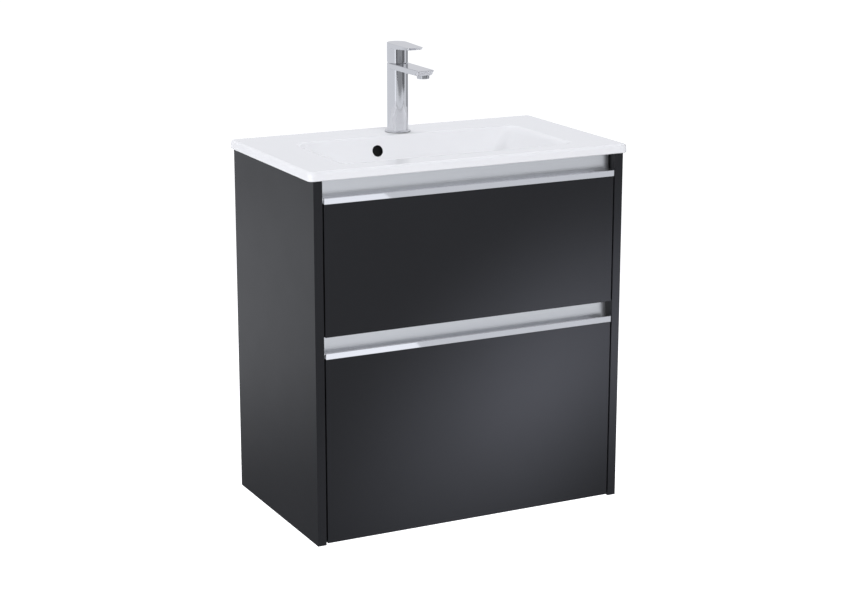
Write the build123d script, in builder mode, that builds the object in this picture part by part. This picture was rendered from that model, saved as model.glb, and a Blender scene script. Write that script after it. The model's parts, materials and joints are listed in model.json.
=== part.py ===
from build123d import *
import os
from math import cos, radians, sin, sqrt, tan

os.makedirs("parts", exist_ok=True)

# Wall-hung vanity cabinet with two drawers, a ceramic basin and a single-lever tap.
# Millimetres. X runs along the front, -Y faces the room and Z is up.
# The origin lies on the wall, in the middle of the four wall screws.

# Carcass
cabinet_width = 590.0
cabinet_depth = 352.0
panel_height = 631.0
board = 16.0
edge_round = 0.8
back_space = 20.0
rail_height = 100.0
upper_rail_drop = 105.0
bottom_setback = 1.0

# Drawer fronts
front_board = 16.0
front_side_gap = 2.5
front_rise = 3.0
lower_front_share = 0.515
lower_finger_gap = 27.0
upper_finger_gap = 29.0

# Handle profiles
lip_height = 10.7
lip_thickness = 2.4
lip_proud = 1.0
lip_round = 0.7
profile_wall = 1.8
channel_reach = 3.0
cove_radius = 9.0
profile_top_gap = 2.5
profile_leg = 28.0

# Drawer boxes
drawer_board = 12.0
drawer_base = 6.0
drawer_back_gap = 10.0
upper_box_share = 0.4875
lower_box_share = 0.6155
upper_box_rise = 15.0
lower_box_lift = 6.0
groove_rise = 10.0
groove_depth = 6.0
groove_play = 0.2
recess_room = 36.0
recess_front_room = 24.0
recess_wall = 8.0
recess_corner = 12.0

# Runners
runner_height = 45.0
runner_thickness = 12.7
runner_steel = 1.2
runner_play = 0.3
runner_setback = 2.0
runner_flange_gap = 1.5
runner_web_room = 1.7

# Screws and dowels
screw_radius = 2.0
screw_length = 11.0
screw_head_radius = 4.0
screw_head_height = 1.3
screw_hole_play = 0.3
screw_tip_room = 0.5
screw_end_margin = 30.0
profile_screw_count = 5
dowel_radius = 4.0
dowel_length = 30.0
dowel_seat = 11.0
dowel_spread = 25.0
dowel_margin = 40.0
drawer_dowel_radius = 3.0
drawer_dowel_length = 24.0
drawer_dowel_seat = 9.0
drawer_dowel_margin = 24.0
dowel_play = 0.05
dowel_end_room = 0.5

# Hangers and wall plates
fixing_drop = 70.0
fixing_inset = 61.0
fixing_pitch = 32.0
fixing_hole_radius = 3.25
hanger_sheet = 2.5
hanger_depth = 50.0
hanger_foot = -25.0
hanger_rail_gap = 2.0
hanger_screw_spread = 14.0
hanger_screw_rise = 15.0
hook_seat = 24.5
hook_play = 1.0
hook_wall_gap = 2.0
hook_half_width = 25.0
plate_half_width = 30.0
plate_foot = -30.0
plate_tab = 14.0

# Front tie bar
tie_steel = 2.0
tie_gap = 3.0
tie_height = 30.0
tie_shelf = 11.0
tie_tab = 38.0
tie_screw_step = 14.0

# Basin
basin_overhang = 8.5
basin_nose = 3.0
rim_height = 16.0
basin_corner = 10.0
rim_round = 6.0
rim_foot_round = 2.0
bowl_length = 432.0
bowl_front_margin = 48.0
bowl_back_margin = 94.0
bowl_depth = 100.0
bowl_corner = 30.0
bowl_corner_growth = 8.0
bowl_wall = 9.0
bowl_end_share = 0.324
bowl_front_share = 0.352
bowl_back_share = 0.188
bowl_edge_round = 3.0
bowl_gentle_share = 0.75
bowl_gentle_power = 1.2
bowl_steep_power = 6.0
bowl_join = 1.0
floor_thickness = 24.0
overflow_offset = -60.0
overflow_drop = 25.0
overflow_radius = 10.0
duct_width = 20.0
duct_depth = 12.0
duct_height = 10.0
duct_cover = 5.0
duct_wall = 6.0
duct_back = 72.0

# Waste and trap
drain_radius = 22.5
waste_radius = 20.9
waste_bore = 17.0
waste_length = 90.0
waste_flange_radius = 31.0
waste_flange = 2.5
waste_slot = 12.0
waste_hub_radius = 8.0
waste_hub_drop = 36.0
waste_hub_height = 12.0
waste_spoke = 4.0
plug_radius = 30.0
plug_rim = 2.0
plug_crown = 3.0
plug_stem_radius = 4.0
plug_stem_play = 0.05
plug_travel = 8.0
washer_thickness = 4.0
waste_nut_height = 10.0
waste_nut_radius = 30.0
thread_play = 0.1
pipe_radius = 16.0
pipe_wall = 1.6
trap_nut_radius = 27.0
trap_nut_up = 12.0
trap_nut_down = 14.0
trap_nut_bevel = 1.0
trap_collar = 3.0
trap_neck_drop = 22.0
trap_neck_height = 14.0
trap_neck_radius = 22.0
trap_bottle_radius = 32.0
trap_bottle_height = 80.0
trap_wall = 2.5
trap_outlet_drop = 28.0
spigot_step = 1.0
trap_stub_radius = 20.0
trap_stub_length = 22.0
trap_stub_join = 1.0
trap_cup_overlap = 18.0
trap_cup_depth = 14.0
dip_clearance = 10.0

# Tap
tap_setback = 57.0
tap_hole_radius = 17.5
tap_radius = 19.0
tap_height = 124.0
tap_foot_radius = 23.5
tap_foot = 2.5
spout_reach = 117.0
spout_tip_half = 16.5
spout_thickness = 9.5
spout_corner = 5.0
spout_round = 1.2
spout_way_radius = 3.0
aerator_reach = 103.0
aerator_radius = 11.0
aerator_thread_radius = 9.5
aerator_thread = 5.0
aerator_drop = 6.0
aerator_bore = 8.0
mesh_rows = 3
mesh_pitch = 4.0
mesh_hole_radius = 1.0
neck_radius = 15.5
neck_height = 5.0
cartridge_radius = 12.5
cartridge_length = 37.0
cartridge_nut_height = 6.0
carrier_radius = 8.4
carrier_play = 0.1
pivot_height = 130.0
pivot_radius = 1.5
pivot_play = 0.06
pivot_end_room = 1.0
spindle_half_width = 4.0
spindle_half_depth = 3.0
spindle_radius = 4.1
spindle_play = 0.15
spindle_slot_room = 0.2
spindle_foot_room = 1.0
spindle_top = 149.0
lever_gap = 0.6
lever_wall = 2.0
lever_height = 161.0
lever_deck = 151.0
lever_reach = 76.4
lever_tip_half = 16.5
lever_tip_fall = 2.0
lever_tip_thickness = 4.0
lever_corner = 4.0
lever_round = 1.0
lever_boss_radius = 8.0
lever_boss_drop = 11.0
lever_lift = 20.0
lever_lift_spare = 1.0
inlet_radius = 4.46
inlet_depth = 14.0
inlet_half_spacing = 8.0
inlet_offset = 5.0
inlet_way_radius = 3.0
stud_radius = 4.0
stud_offset = 9.0
stud_depth = 12.0
stud_drop = 40.0
clamp_radius = 25.0
clamp_thickness = 3.0
clamp_cut = 1.0
stud_nut_radius = 7.5
stud_nut_height = 6.5

# Limits that the pieces share
outer_x = cabinet_width / 2
inner_x = outer_x - board
front_x = inner_x - front_side_gap
front_y = -cabinet_depth
front_back_y = front_y + front_board
panel_top = fixing_drop
panel_foot = panel_top - panel_height
bottom_z = (panel_foot + front_rise, panel_foot + front_rise + board)
bottom_y = (front_back_y + bottom_setback, -back_space)
rail_y = (-back_space - board, -back_space)
upper_rail_z = (panel_top - upper_rail_drop - rail_height, panel_top - upper_rail_drop)
lower_rail_z = (bottom_z[1], bottom_z[1] + rail_height)
lower_front_z = (bottom_z[0], bottom_z[0] + lower_front_share * panel_height)
upper_front_z = (
    lower_front_z[1] + lip_height + lower_finger_gap,
    panel_top - upper_finger_gap - lip_height,
)
channel_y = front_back_y + channel_reach

drawer_end_y = rail_y[0] - drawer_back_gap
drawer_x = inner_x - runner_thickness
drawer_inner_x = drawer_x - drawer_board
upper_box_foot = upper_front_z[0] + upper_box_rise
upper_box_z = (
    upper_box_foot,
    upper_box_foot + upper_box_share * (upper_front_z[1] - upper_front_z[0]),
)
lower_box_foot = bottom_z[1] + lower_box_lift
lower_box_z = (
    lower_box_foot,
    lower_box_foot + lower_box_share * (lower_front_z[1] - lower_front_z[0]),
)
runner_y = (front_back_y + runner_setback, drawer_end_y)

deck = panel_top + rim_height
basin_y = (front_y - basin_nose, 0.0)
bowl_y = (basin_y[0] + bowl_front_margin, -bowl_back_margin)
bowl_end_inset = bowl_end_share * bowl_length
bowl_front_inset = bowl_front_share * (bowl_y[1] - bowl_y[0])
bowl_back_inset = bowl_back_share * (bowl_y[1] - bowl_y[0])
bowl_floor = deck - bowl_depth
bowl_under = bowl_floor - floor_thickness
drain = (0.0, (bowl_y[0] + bowl_front_inset + bowl_y[1] - bowl_back_inset) / 2)
duct_x = (overflow_offset - duct_width / 2, overflow_offset + duct_width / 2)
duct_y = (-duct_back - duct_depth, -duct_back)
duct_z = (bowl_under + duct_cover, bowl_under + duct_cover + duct_height)
waste_end = bowl_floor - waste_length
trap_top = waste_end - trap_neck_drop
trap_shoulder = trap_top - trap_neck_height
trap_foot = trap_shoulder - trap_bottle_height
outlet_z = trap_shoulder - trap_outlet_drop
recess_x = trap_bottle_radius + recess_room
recess_y = drain[1] - trap_bottle_radius - recess_front_room
tap = (0.0, -tap_setback)

LOW = (Align.CENTER, Align.CENTER, Align.MIN)
SIDES = ((-1, "left"), (1, "right"))


def middle(limits):
    """The point halfway between two limits."""
    return (limits[0] + limits[1]) / 2


def span(side, near, far):
    """X limits from near to far, on the left (-1) or the right (1)."""
    return (min(side * near, side * far), max(side * near, side * far))


def block(x, y, z, mode=Mode.ADD):
    """A box between pairs of limits."""
    with Locations((middle(x), middle(y), middle(z))):
        Box(x[1] - x[0], y[1] - y[0], z[1] - z[0], mode=mode)


def post(place, radius, z, mode=Mode.ADD):
    """An upright cylinder between two heights."""
    with Locations((place[0], place[1], z[0])):
        Cylinder(radius, z[1] - z[0], align=LOW, mode=mode)


def pegs(planes, radius, start, length, mode=Mode.ADD):
    """Cylinders along the normals of planes, from a start above each plane."""
    with Locations(*[plane.offset(start) for plane in planes]):
        Cylinder(radius, length, align=LOW, mode=mode)


def strip(x, z):
    """A rectangle between pairs of limits, in a sketch."""
    with Locations((middle(x), middle(z))):
        Rectangle(x[1] - x[0], z[1] - z[0])


def save(piece, node):
    """Names a finished piece and writes it."""
    piece.part.label = node
    export_step(piece.part, f"parts/{node}.step")


def screw_pilots(planes):
    """Holes in wood for screws whose heads seat on the planes."""
    pegs(planes, screw_radius, 0, screw_length + screw_tip_room, Mode.SUBTRACT)


def screw_clearances(planes):
    """Holes in sheet metal for screws whose heads seat on the planes."""
    pegs(planes, screw_radius + screw_hole_play, 0, screw_length, Mode.SUBTRACT)


def screws(planes):
    """Flat-headed screws driven along the normals of the planes."""
    pegs(planes, screw_radius, 0, screw_length)
    pegs(planes, screw_head_radius, -screw_head_height, screw_head_height)


def carcass_dowels_at(side):
    """Planes of the dowels between a side panel and the boards that meet it."""
    rails = [
        (middle(rail_y), middle(z) + step)
        for z in (upper_rail_z, lower_rail_z)
        for step in (-dowel_spread, dowel_spread)
    ]
    floor_board = [
        (y, middle(bottom_z))
        for y in (bottom_y[0] + dowel_margin, middle(bottom_y), bottom_y[1] - dowel_margin)
    ]
    return [
        Plane(origin=(side * inner_x, y, z), z_dir=(side, 0, 0)) for y, z in rails + floor_board
    ]


def carcass_dowel_holes(side):
    """Dowel holes in whatever meets a side panel's inner face."""
    pegs(
        carcass_dowels_at(side),
        dowel_radius + dowel_play,
        dowel_seat - dowel_length - dowel_end_room,
        dowel_length + 2 * dowel_end_room,
        Mode.SUBTRACT,
    )


def runner_screws_at(side, box_z):
    """Planes of the screws that hold a runner's rail to a side panel."""
    places = (runner_y[0] + screw_end_margin, middle(runner_y), runner_y[1] - screw_end_margin)
    seat = side * (inner_x - runner_steel)
    return [Plane(origin=(seat, y, middle(box_z)), z_dir=(side, 0, 0)) for y in places]


def slide_screws_at(side, box_z):
    """Planes of the screws that hold a runner's slide to a drawer side."""
    places = (runner_y[0] + screw_end_margin, middle(runner_y), runner_y[1] - screw_end_margin)
    seat = side * (drawer_x + runner_steel)
    return [Plane(origin=(seat, y, middle(box_z)), z_dir=(-side, 0, 0)) for y in places]


def profile_screws_at(front_z):
    """Planes of the screws that hold a handle profile's leg to the back of a drawer front."""
    step = 2 * (front_x - screw_end_margin) / (profile_screw_count - 1)
    places = [-front_x + screw_end_margin + step * index for index in range(profile_screw_count)]
    height = front_z[1] - profile_leg / 2
    seat = front_back_y + profile_wall
    return [Plane(origin=(x, seat, height), z_dir=(0, -1, 0)) for x in places]


hanger_y = (rail_y[0] - hanger_rail_gap - hanger_depth, rail_y[0] - hanger_rail_gap)
hook_top = hook_seat + plate_tab + 2 * hook_play + hanger_sheet
tie_y = channel_y + profile_wall + tie_gap


def hanger_screws_at(side):
    """Planes of the screws that hold a hanger bracket to a side panel."""
    step = hanger_screw_spread
    places = [(-step, 0), (step, 0), (0, hanger_screw_rise)]
    seat = side * (inner_x - hanger_sheet)
    return [
        Plane(origin=(seat, middle(hanger_y) + y, z), z_dir=(side, 0, 0)) for y, z in places
    ]


def tie_screws_at(side):
    """Planes of the screws that hold the tie bar's end tabs to a side panel."""
    height = panel_top - tie_height / 2
    seat = side * (inner_x - tie_steel)
    places = (tie_y + tie_screw_step, tie_y + 2 * tie_screw_step)
    return [Plane(origin=(seat, y, height), z_dir=(side, 0, 0)) for y in places]


def panel_screws_at(side):
    """Planes of every screw that enters a side panel."""
    return (
        runner_screws_at(side, upper_box_z)
        + runner_screws_at(side, lower_box_z)
        + hanger_screws_at(side)
        + tie_screws_at(side)
    )


# Side panels
for side, name in SIDES:
    with BuildPart() as side_panel:
        block(span(side, inner_x, outer_x), (front_y, 0), (panel_foot, panel_top))
        fillet(side_panel.edges(), edge_round)
        carcass_dowel_holes(side)
        screw_pilots(panel_screws_at(side))
    save(side_panel, f"{name}_side_panel")

# Bottom panel and back rails between the sides
carcass_boards = (
    ("bottom_panel", bottom_y, bottom_z),
    ("upper_back_rail", rail_y, upper_rail_z),
    ("lower_back_rail", rail_y, lower_rail_z),
)
for node, y_limits, z_limits in carcass_boards:
    with BuildPart() as carcass_board:
        block((-inner_x, inner_x), y_limits, z_limits)
        carcass_dowel_holes(-1)
        carcass_dowel_holes(1)
    save(carcass_board, node)

with BuildPart() as carcass_dowels:
    for side, name in SIDES:
        pegs(carcass_dowels_at(side), dowel_radius, dowel_seat - dowel_length, dowel_length)
save(carcass_dowels, "carcass_dowels")

# Steel angle that ties the sides together under the basin's front rim
with BuildPart() as front_tie_bar:
    tie_z = (panel_top - tie_height, panel_top)
    block((-inner_x, inner_x), (tie_y, tie_y + tie_steel), tie_z)
    block((-inner_x, inner_x), (tie_y, tie_y + tie_shelf), (panel_top - tie_steel, panel_top))
    for side, name in SIDES:
        block(span(side, inner_x - tie_steel, inner_x), (tie_y, tie_y + tie_tab), tie_z)
        screw_clearances(tie_screws_at(side))
save(front_tie_bar, "front_tie_bar")

# Hanger brackets inside the cabinet, and the wall plates that they hook on
plate_tab_y = -hook_wall_gap - hanger_sheet - hook_play
for side, name in SIDES:
    fixing_x = outer_x - fixing_inset
    hook_x = span(side, fixing_x - hook_half_width, fixing_x + hook_half_width)
    with BuildPart() as hanger_bracket:
        block(
            span(side, inner_x - hanger_sheet, inner_x), hanger_y, (hanger_foot, hook_top)
        )
        block(
            span(side, fixing_x - hook_half_width, inner_x),
            hanger_y,
            (hook_top - hanger_sheet, hook_top),
        )
        block(hook_x, (hanger_y[1], -hook_wall_gap), (hook_top - hanger_sheet, hook_top))
        block(hook_x, (-hook_wall_gap - hanger_sheet, -hook_wall_gap), (hook_seat, hook_top))
        screw_clearances(hanger_screws_at(side))
    save(hanger_bracket, f"{name}_hanger_bracket")

    plate_x = span(side, fixing_x - plate_half_width, fixing_x + plate_half_width)
    plate_holes = [
        Plane(origin=(side * fixing_x, 0, z), z_dir=(0, -1, 0))
        for z in (-fixing_pitch / 2, fixing_pitch / 2)
    ]
    with BuildPart() as wall_plate:
        block(plate_x, (-hanger_sheet, 0), (plate_foot, hook_seat))
        block(plate_x, (plate_tab_y - hanger_sheet, 0), (hook_seat - hanger_sheet, hook_seat))
        block(
            plate_x,
            (plate_tab_y - hanger_sheet, plate_tab_y),
            (hook_seat - hanger_sheet, hook_seat + plate_tab),
        )
        pegs(plate_holes, fixing_hole_radius, 0, hanger_sheet, Mode.SUBTRACT)
    save(wall_plate, f"{name}_wall_plate")

with BuildPart() as cabinet_screws:
    for side, name in SIDES:
        screws(panel_screws_at(side))
save(cabinet_screws, "cabinet_screws")

# Runners: a rail on the cabinet, a link that runs in it and a slide on the drawer.
# Each section is drawn from the side panel inwards, and mirrored for the other side.
half_rail = runner_height / 2
half_link = half_rail - runner_steel - runner_play
half_slide = half_link - runner_steel - runner_play
rail_reach = runner_thickness - runner_steel - runner_flange_gap
link_web = (runner_steel + runner_web_room, 2 * runner_steel + runner_web_room)
link_reach = (runner_steel + runner_play, rail_reach - runner_play)
slide_reach = (link_web[1] + runner_play, runner_thickness)
slide_web = (runner_thickness - runner_steel, runner_thickness)
RUNNER_SECTIONS = {
    "rail": ((0, runner_steel), (0, rail_reach), half_rail),
    "link": (link_web, link_reach, half_link),
    "slide": (slide_web, slide_reach, half_slide),
}


def runner_strips(member, side, height):
    """The web and the two flanges of a runner's member, in a sketch."""
    web, reach, half = RUNNER_SECTIONS[member]
    strip(span(side, inner_x - web[0], inner_x - web[1]), (height - half, height + half))
    flange_x = span(side, inner_x - reach[0], inner_x - reach[1])
    strip(flange_x, (height + half - runner_steel, height + half))
    strip(flange_x, (height - half, height - half + runner_steel))


runner_end = Plane(origin=(0, runner_y[1], 0), x_dir=(1, 0, 0), z_dir=(0, -1, 0))
runner_length = runner_y[1] - runner_y[0]
for drawer, box_z in (("upper", upper_box_z), ("lower", lower_box_z)):
    for side, name in SIDES:
        with BuildPart() as runner_rail:
            with BuildSketch(runner_end):
                runner_strips("rail", side, middle(box_z))
            extrude(amount=runner_length)
            screw_clearances(runner_screws_at(side, box_z))
        save(runner_rail, f"{drawer}_{name}_runner_rail")

        with BuildPart() as runner_slide:
            with BuildSketch(runner_end):
                runner_strips("slide", side, middle(box_z))
            extrude(amount=runner_length)
            screw_clearances(slide_screws_at(side, box_z))
        save(runner_slide, f"{drawer}_{name}_runner_slide")

    with BuildPart() as runner_links:
        with BuildSketch(runner_end):
            for side, name in SIDES:
                runner_strips("link", side, middle(box_z))
        extrude(amount=runner_length)
    save(runner_links, f"{drawer}_runner_links")


# Drawer boxes
def front_dowels_at(side, box_z):
    """Planes of the dowels between a drawer side and its front."""
    x = side * (drawer_x - drawer_board / 2)
    heights = (box_z[0] + drawer_dowel_margin, box_z[1] - drawer_dowel_margin)
    return [Plane(origin=(x, front_back_y, z), z_dir=(0, -1, 0)) for z in heights]


def back_dowels_at(side, box_z):
    """Planes of the dowels between a drawer side and its back."""
    y = drawer_end_y - drawer_board / 2
    foot = box_z[0] + groove_rise + drawer_base
    heights = (foot + drawer_dowel_margin, box_z[1] - drawer_dowel_margin)
    return [Plane(origin=(side * drawer_inner_x, y, z), z_dir=(side, 0, 0)) for z in heights]


def drawer_dowel_holes(box_z):
    """Dowel holes in whatever part of a drawer box they cross."""
    for side, name in SIDES:
        pegs(
            front_dowels_at(side, box_z) + back_dowels_at(side, box_z),
            drawer_dowel_radius + dowel_play,
            drawer_dowel_seat - drawer_dowel_length - dowel_end_room,
            drawer_dowel_length + 2 * dowel_end_room,
            Mode.SUBTRACT,
        )


def groove(box_z, mode):
    """The room that a drawer's base takes in the boards around it."""
    reach = drawer_inner_x + groove_depth
    height = (box_z[0] + groove_rise, box_z[0] + groove_rise + drawer_base)
    block(
        (-reach, reach),
        (front_back_y - groove_depth, drawer_end_y),
        (height[0] - groove_play, height[1]),
        mode,
    )


for drawer, front_z, box_z, profile_top in (
    ("upper", upper_front_z, upper_box_z, panel_top - profile_top_gap),
    ("lower", lower_front_z, lower_box_z, upper_front_z[0] - profile_top_gap),
):
    base_z = (box_z[0] + groove_rise, box_z[0] + groove_rise + drawer_base)

    with BuildPart() as drawer_front:
        block((-front_x, front_x), (front_y, front_back_y), front_z)
        fillet(drawer_front.edges(), edge_round)
        groove(box_z, Mode.SUBTRACT)
        drawer_dowel_holes(box_z)
        screw_pilots(profile_screws_at(front_z))
    save(drawer_front, f"{drawer}_drawer_front")

    # The profile's section: front lip, floor, cove and back wall, with a leg behind the front
    lip_y = (front_y - lip_proud, front_y - lip_proud + lip_thickness)
    lip_top = front_z[1] + lip_height
    floor_top = front_z[1] + profile_wall
    cove_y = channel_y - cove_radius
    cove_top = floor_top + cove_radius
    outer_cove = cove_radius + profile_wall
    leg_y = (front_back_y, front_back_y + profile_wall)
    leg_reach = middle(leg_y) - cove_y
    leg_top = cove_top - sqrt((cove_radius + profile_wall / 2) ** 2 - leg_reach**2)
    with BuildPart() as handle_profile:
        with BuildSketch(Plane.YZ.offset(-front_x)) as profile_section:
            with BuildLine():
                Polyline(
                    (cove_y, front_z[1]),
                    (lip_y[0], front_z[1]),
                    (lip_y[0], lip_top),
                    (lip_y[1], lip_top),
                    (lip_y[1], floor_top),
                    (cove_y, floor_top),
                )
                CenterArc((cove_y, cove_top), cove_radius, 270, 90)
                Polyline(
                    (channel_y, cove_top),
                    (channel_y, profile_top),
                    (channel_y + profile_wall, profile_top),
                    (channel_y + profile_wall, cove_top),
                )
                CenterArc((cove_y, cove_top), outer_cove, 0, -90)
            make_face()
            fillet(profile_section.vertices().filter_by_position(Axis.Y, lip_top, lip_top), lip_round)
            strip(leg_y, (front_z[1] - profile_leg, leg_top))
        extrude(amount=2 * front_x)
        screw_clearances(profile_screws_at(front_z))
    save(handle_profile, f"{drawer}_handle_profile")

    for side, name in SIDES:
        with BuildPart() as drawer_side:
            block(span(side, drawer_inner_x, drawer_x), (front_back_y, drawer_end_y), box_z)
            groove(box_z, Mode.SUBTRACT)
            drawer_dowel_holes(box_z)
            screw_pilots(slide_screws_at(side, box_z))
        save(drawer_side, f"{drawer}_drawer_{name}_side")

    with BuildPart() as drawer_bottom:
        groove(box_z, Mode.ADD)
        reach = drawer_inner_x + groove_depth
        block(
            (-reach, reach),
            (front_back_y - groove_depth, drawer_end_y),
            (box_z[0], base_z[0]),
            Mode.SUBTRACT,
        )
        for side, name in SIDES:
            block(
                span(side, reach - groove_play, reach),
                (front_back_y - groove_depth, drawer_end_y),
                base_z,
                Mode.SUBTRACT,
            )
        block(
            (-reach, reach),
            (front_back_y - groove_depth, front_back_y - groove_depth + groove_play),
            base_z,
            Mode.SUBTRACT,
        )
        if drawer == "upper":
            block((-recess_x, recess_x), (recess_y, drawer_end_y), base_z, Mode.SUBTRACT)
    save(drawer_bottom, f"{drawer}_drawer_bottom")

    back_y = (drawer_end_y - drawer_board, drawer_end_y)
    back_z = (base_z[1], box_z[1])
    back_spans = {"lower_drawer_back": (-drawer_inner_x, drawer_inner_x)}
    if drawer == "upper":
        back_spans = {
            f"upper_drawer_{name}_back": span(side, recess_x + recess_wall, drawer_inner_x)
            for side, name in SIDES
        }
    for node, x_limits in back_spans.items():
        with BuildPart() as drawer_back:
            block(x_limits, back_y, back_z)
            drawer_dowel_holes(box_z)
        save(drawer_back, node)

    with BuildPart() as drawer_dowels:
        for side, name in SIDES:
            pegs(
                front_dowels_at(side, box_z) + back_dowels_at(side, box_z),
                drawer_dowel_radius,
                drawer_dowel_seat - drawer_dowel_length,
                drawer_dowel_length,
            )
    save(drawer_dowels, f"{drawer}_drawer_dowels")

    with BuildPart() as drawer_screws:
        screws(profile_screws_at(front_z))
        for side, name in SIDES:
            screws(slide_screws_at(side, box_z))
    save(drawer_screws, f"{drawer}_drawer_screws")

# Liner around the recess that lets the upper drawer close past the trap
liner_z = (upper_box_z[0] + groove_rise + drawer_base, upper_box_z[1])
liner_x = recess_x + recess_wall
with BuildPart() as upper_drawer_recess:
    block((-liner_x, liner_x), (recess_y - recess_wall, drawer_end_y), liner_z)
    liner_front = upper_drawer_recess.edges().filter_by(Axis.Z).group_by(Axis.Y)[0]
    fillet(liner_front, recess_corner)
    block((-recess_x, recess_x), (recess_y, drawer_end_y), liner_z, Mode.SUBTRACT)
save(upper_drawer_recess, "upper_drawer_recess")


# Basin
def bowl_outline(depth, grow):
    """The bowl's outline at a depth below the deck, in a sketch.

    The walls close in slowly at first and then sweep into the floor: the share of the inset
    is a blend of a gentle and a steep power of the share of the depth.
    """
    share = depth / bowl_depth
    gentle = bowl_gentle_share * share**bowl_gentle_power
    steep = (1 - bowl_gentle_share) * share**bowl_steep_power
    sweep = gentle + steep
    half = bowl_length / 2 - bowl_end_inset * sweep + grow
    y = (
        bowl_y[0] + bowl_front_inset * sweep - grow,
        bowl_y[1] - bowl_back_inset * sweep + grow,
    )
    with Locations((0, middle(y))):
        RectangleRounded(2 * half, y[1] - y[0], bowl_corner + bowl_corner_growth * share + grow)


BOWL_SHARES = (0.12, 0.3, 0.5, 0.7, 0.85, 0.95, 1.0)
overflow_z = deck - overflow_drop
rib_x = (duct_x[0] - duct_wall, duct_x[1] + duct_wall)
with BuildPart() as basin:
    with BuildSketch(Plane.XY.offset(panel_top)):
        with Locations((0, middle(basin_y))):
            RectangleRounded(
                cabinet_width + 2 * basin_overhang, basin_y[1] - basin_y[0], basin_corner
            )
    extrude(amount=rim_height)
    fillet(basin.edges().group_by(Axis.Z)[-1], rim_round)
    fillet(basin.edges().group_by(Axis.Z)[0], rim_foot_round)

    # Outside of the bowl, from inside the rim down to its foot
    for depth in (rim_height - bowl_join, *(share * bowl_depth for share in BOWL_SHARES[1:5])):
        with BuildSketch(Plane.XY.offset(deck - depth)):
            bowl_outline(depth, bowl_wall)
    with BuildSketch(Plane.XY.offset(bowl_under)):
        bowl_outline(bowl_depth, bowl_wall)
    loft()

    # Rib that holds the overflow's duct
    block(
        rib_x,
        (bowl_y[1] - bowl_back_inset, duct_y[1] + duct_wall),
        (bowl_under, panel_top + bowl_join),
    )

    # Inside of the bowl
    with BuildSketch(Plane.XY.offset(deck)):
        bowl_outline(0, 0)
    for share in BOWL_SHARES:
        with BuildSketch(Plane.XY.offset(deck - share * bowl_depth)):
            bowl_outline(share * bowl_depth, 0)
    loft(mode=Mode.SUBTRACT)
    bowl_edge = basin.edges().filter_by_position(Axis.Z, deck, deck)
    bowl_edge = bowl_edge.filter_by_position(Axis.X, -bowl_length / 2, bowl_length / 2)
    fillet(bowl_edge.filter_by_position(Axis.Y, *bowl_y), bowl_edge_round)

    # Overflow: a round mouth, a duct down the back and a way along the floor to the drain
    mouth = Plane(origin=(overflow_offset, middle(duct_y), overflow_z), z_dir=(0, -1, 0))
    pegs([mouth], overflow_radius, 0, 2 * (bowl_back_margin - duct_back), Mode.SUBTRACT)
    block(duct_x, duct_y, (duct_z[0], overflow_z + overflow_radius), Mode.SUBTRACT)
    block(duct_x, (drain[1] - duct_width / 2, duct_y[1]), duct_z, Mode.SUBTRACT)
    cross_y = (drain[1] - duct_width / 2, drain[1] + duct_width / 2)
    block((duct_x[0], drain[0]), cross_y, duct_z, Mode.SUBTRACT)

    post(drain, drain_radius, (bowl_under, bowl_floor), Mode.SUBTRACT)
    post(tap, tap_hole_radius, (panel_top, deck), Mode.SUBTRACT)
save(basin, "basin")

# Waste
flange_top = bowl_floor + waste_flange
hub_z = (bowl_floor - waste_hub_drop - waste_hub_height, bowl_floor - waste_hub_drop)
with BuildPart() as waste_body:
    post(drain, waste_flange_radius, (bowl_floor, flange_top))
    post(drain, waste_radius, (waste_end, bowl_floor))
    post(drain, waste_bore, (waste_end, flange_top), Mode.SUBTRACT)
    block((-waste_bore, waste_bore), (drain[1] - waste_spoke / 2, drain[1] + waste_spoke / 2), hub_z)
    post(drain, waste_hub_radius, hub_z)
    post(drain, plug_stem_radius + plug_stem_play, hub_z, Mode.SUBTRACT)
    slot_y = (drain[1] - waste_slot / 2, drain[1] + waste_slot / 2)
    block((-waste_radius, waste_radius), slot_y, duct_z, Mode.SUBTRACT)
save(waste_body, "waste_body")

with BuildPart() as waste_plug:
    post(drain, plug_radius, (flange_top, flange_top + plug_rim + plug_crown))
    fillet(waste_plug.edges().group_by(Axis.Z)[-1], plug_crown)
    post(drain, plug_stem_radius, (hub_z[0] - plug_travel, flange_top))
save(waste_plug, "waste_plug")

washer_z = (bowl_under - washer_thickness, bowl_under)
with BuildPart() as waste_washer:
    post(drain, waste_nut_radius, washer_z)
    post(drain, waste_radius + thread_play, washer_z, Mode.SUBTRACT)
save(waste_washer, "waste_washer")

with BuildPart() as waste_nut:
    with BuildSketch(Plane.XY.offset(washer_z[0])):
        with Locations(drain):
            RegularPolygon(waste_nut_radius, 6)
            Circle(waste_radius + thread_play, mode=Mode.SUBTRACT)
    extrude(amount=-waste_nut_height)
save(waste_nut, "waste_nut")

# Bottle trap
collar_z = (waste_end - trap_collar, waste_end)
with BuildPart() as trap_nut:
    post(drain, trap_nut_radius, (waste_end - trap_nut_down, waste_end + trap_nut_up))
    post(drain, waste_radius + thread_play, (collar_z[0], waste_end + trap_nut_up), Mode.SUBTRACT)
    post(drain, pipe_radius + thread_play, (waste_end - trap_nut_down, collar_z[0]), Mode.SUBTRACT)
    chamfer(trap_nut.edges().group_by(Axis.Z)[0], trap_nut_bevel)
save(trap_nut, "trap_nut")

dip_foot = trap_foot + dip_clearance
with BuildPart() as trap_dip_tube:
    post(drain, waste_radius, collar_z)
    post(drain, pipe_radius, (dip_foot, collar_z[0]))
    post(drain, pipe_radius - pipe_wall, (dip_foot, waste_end), Mode.SUBTRACT)
save(trap_dip_tube, "trap_dip_tube")

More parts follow.
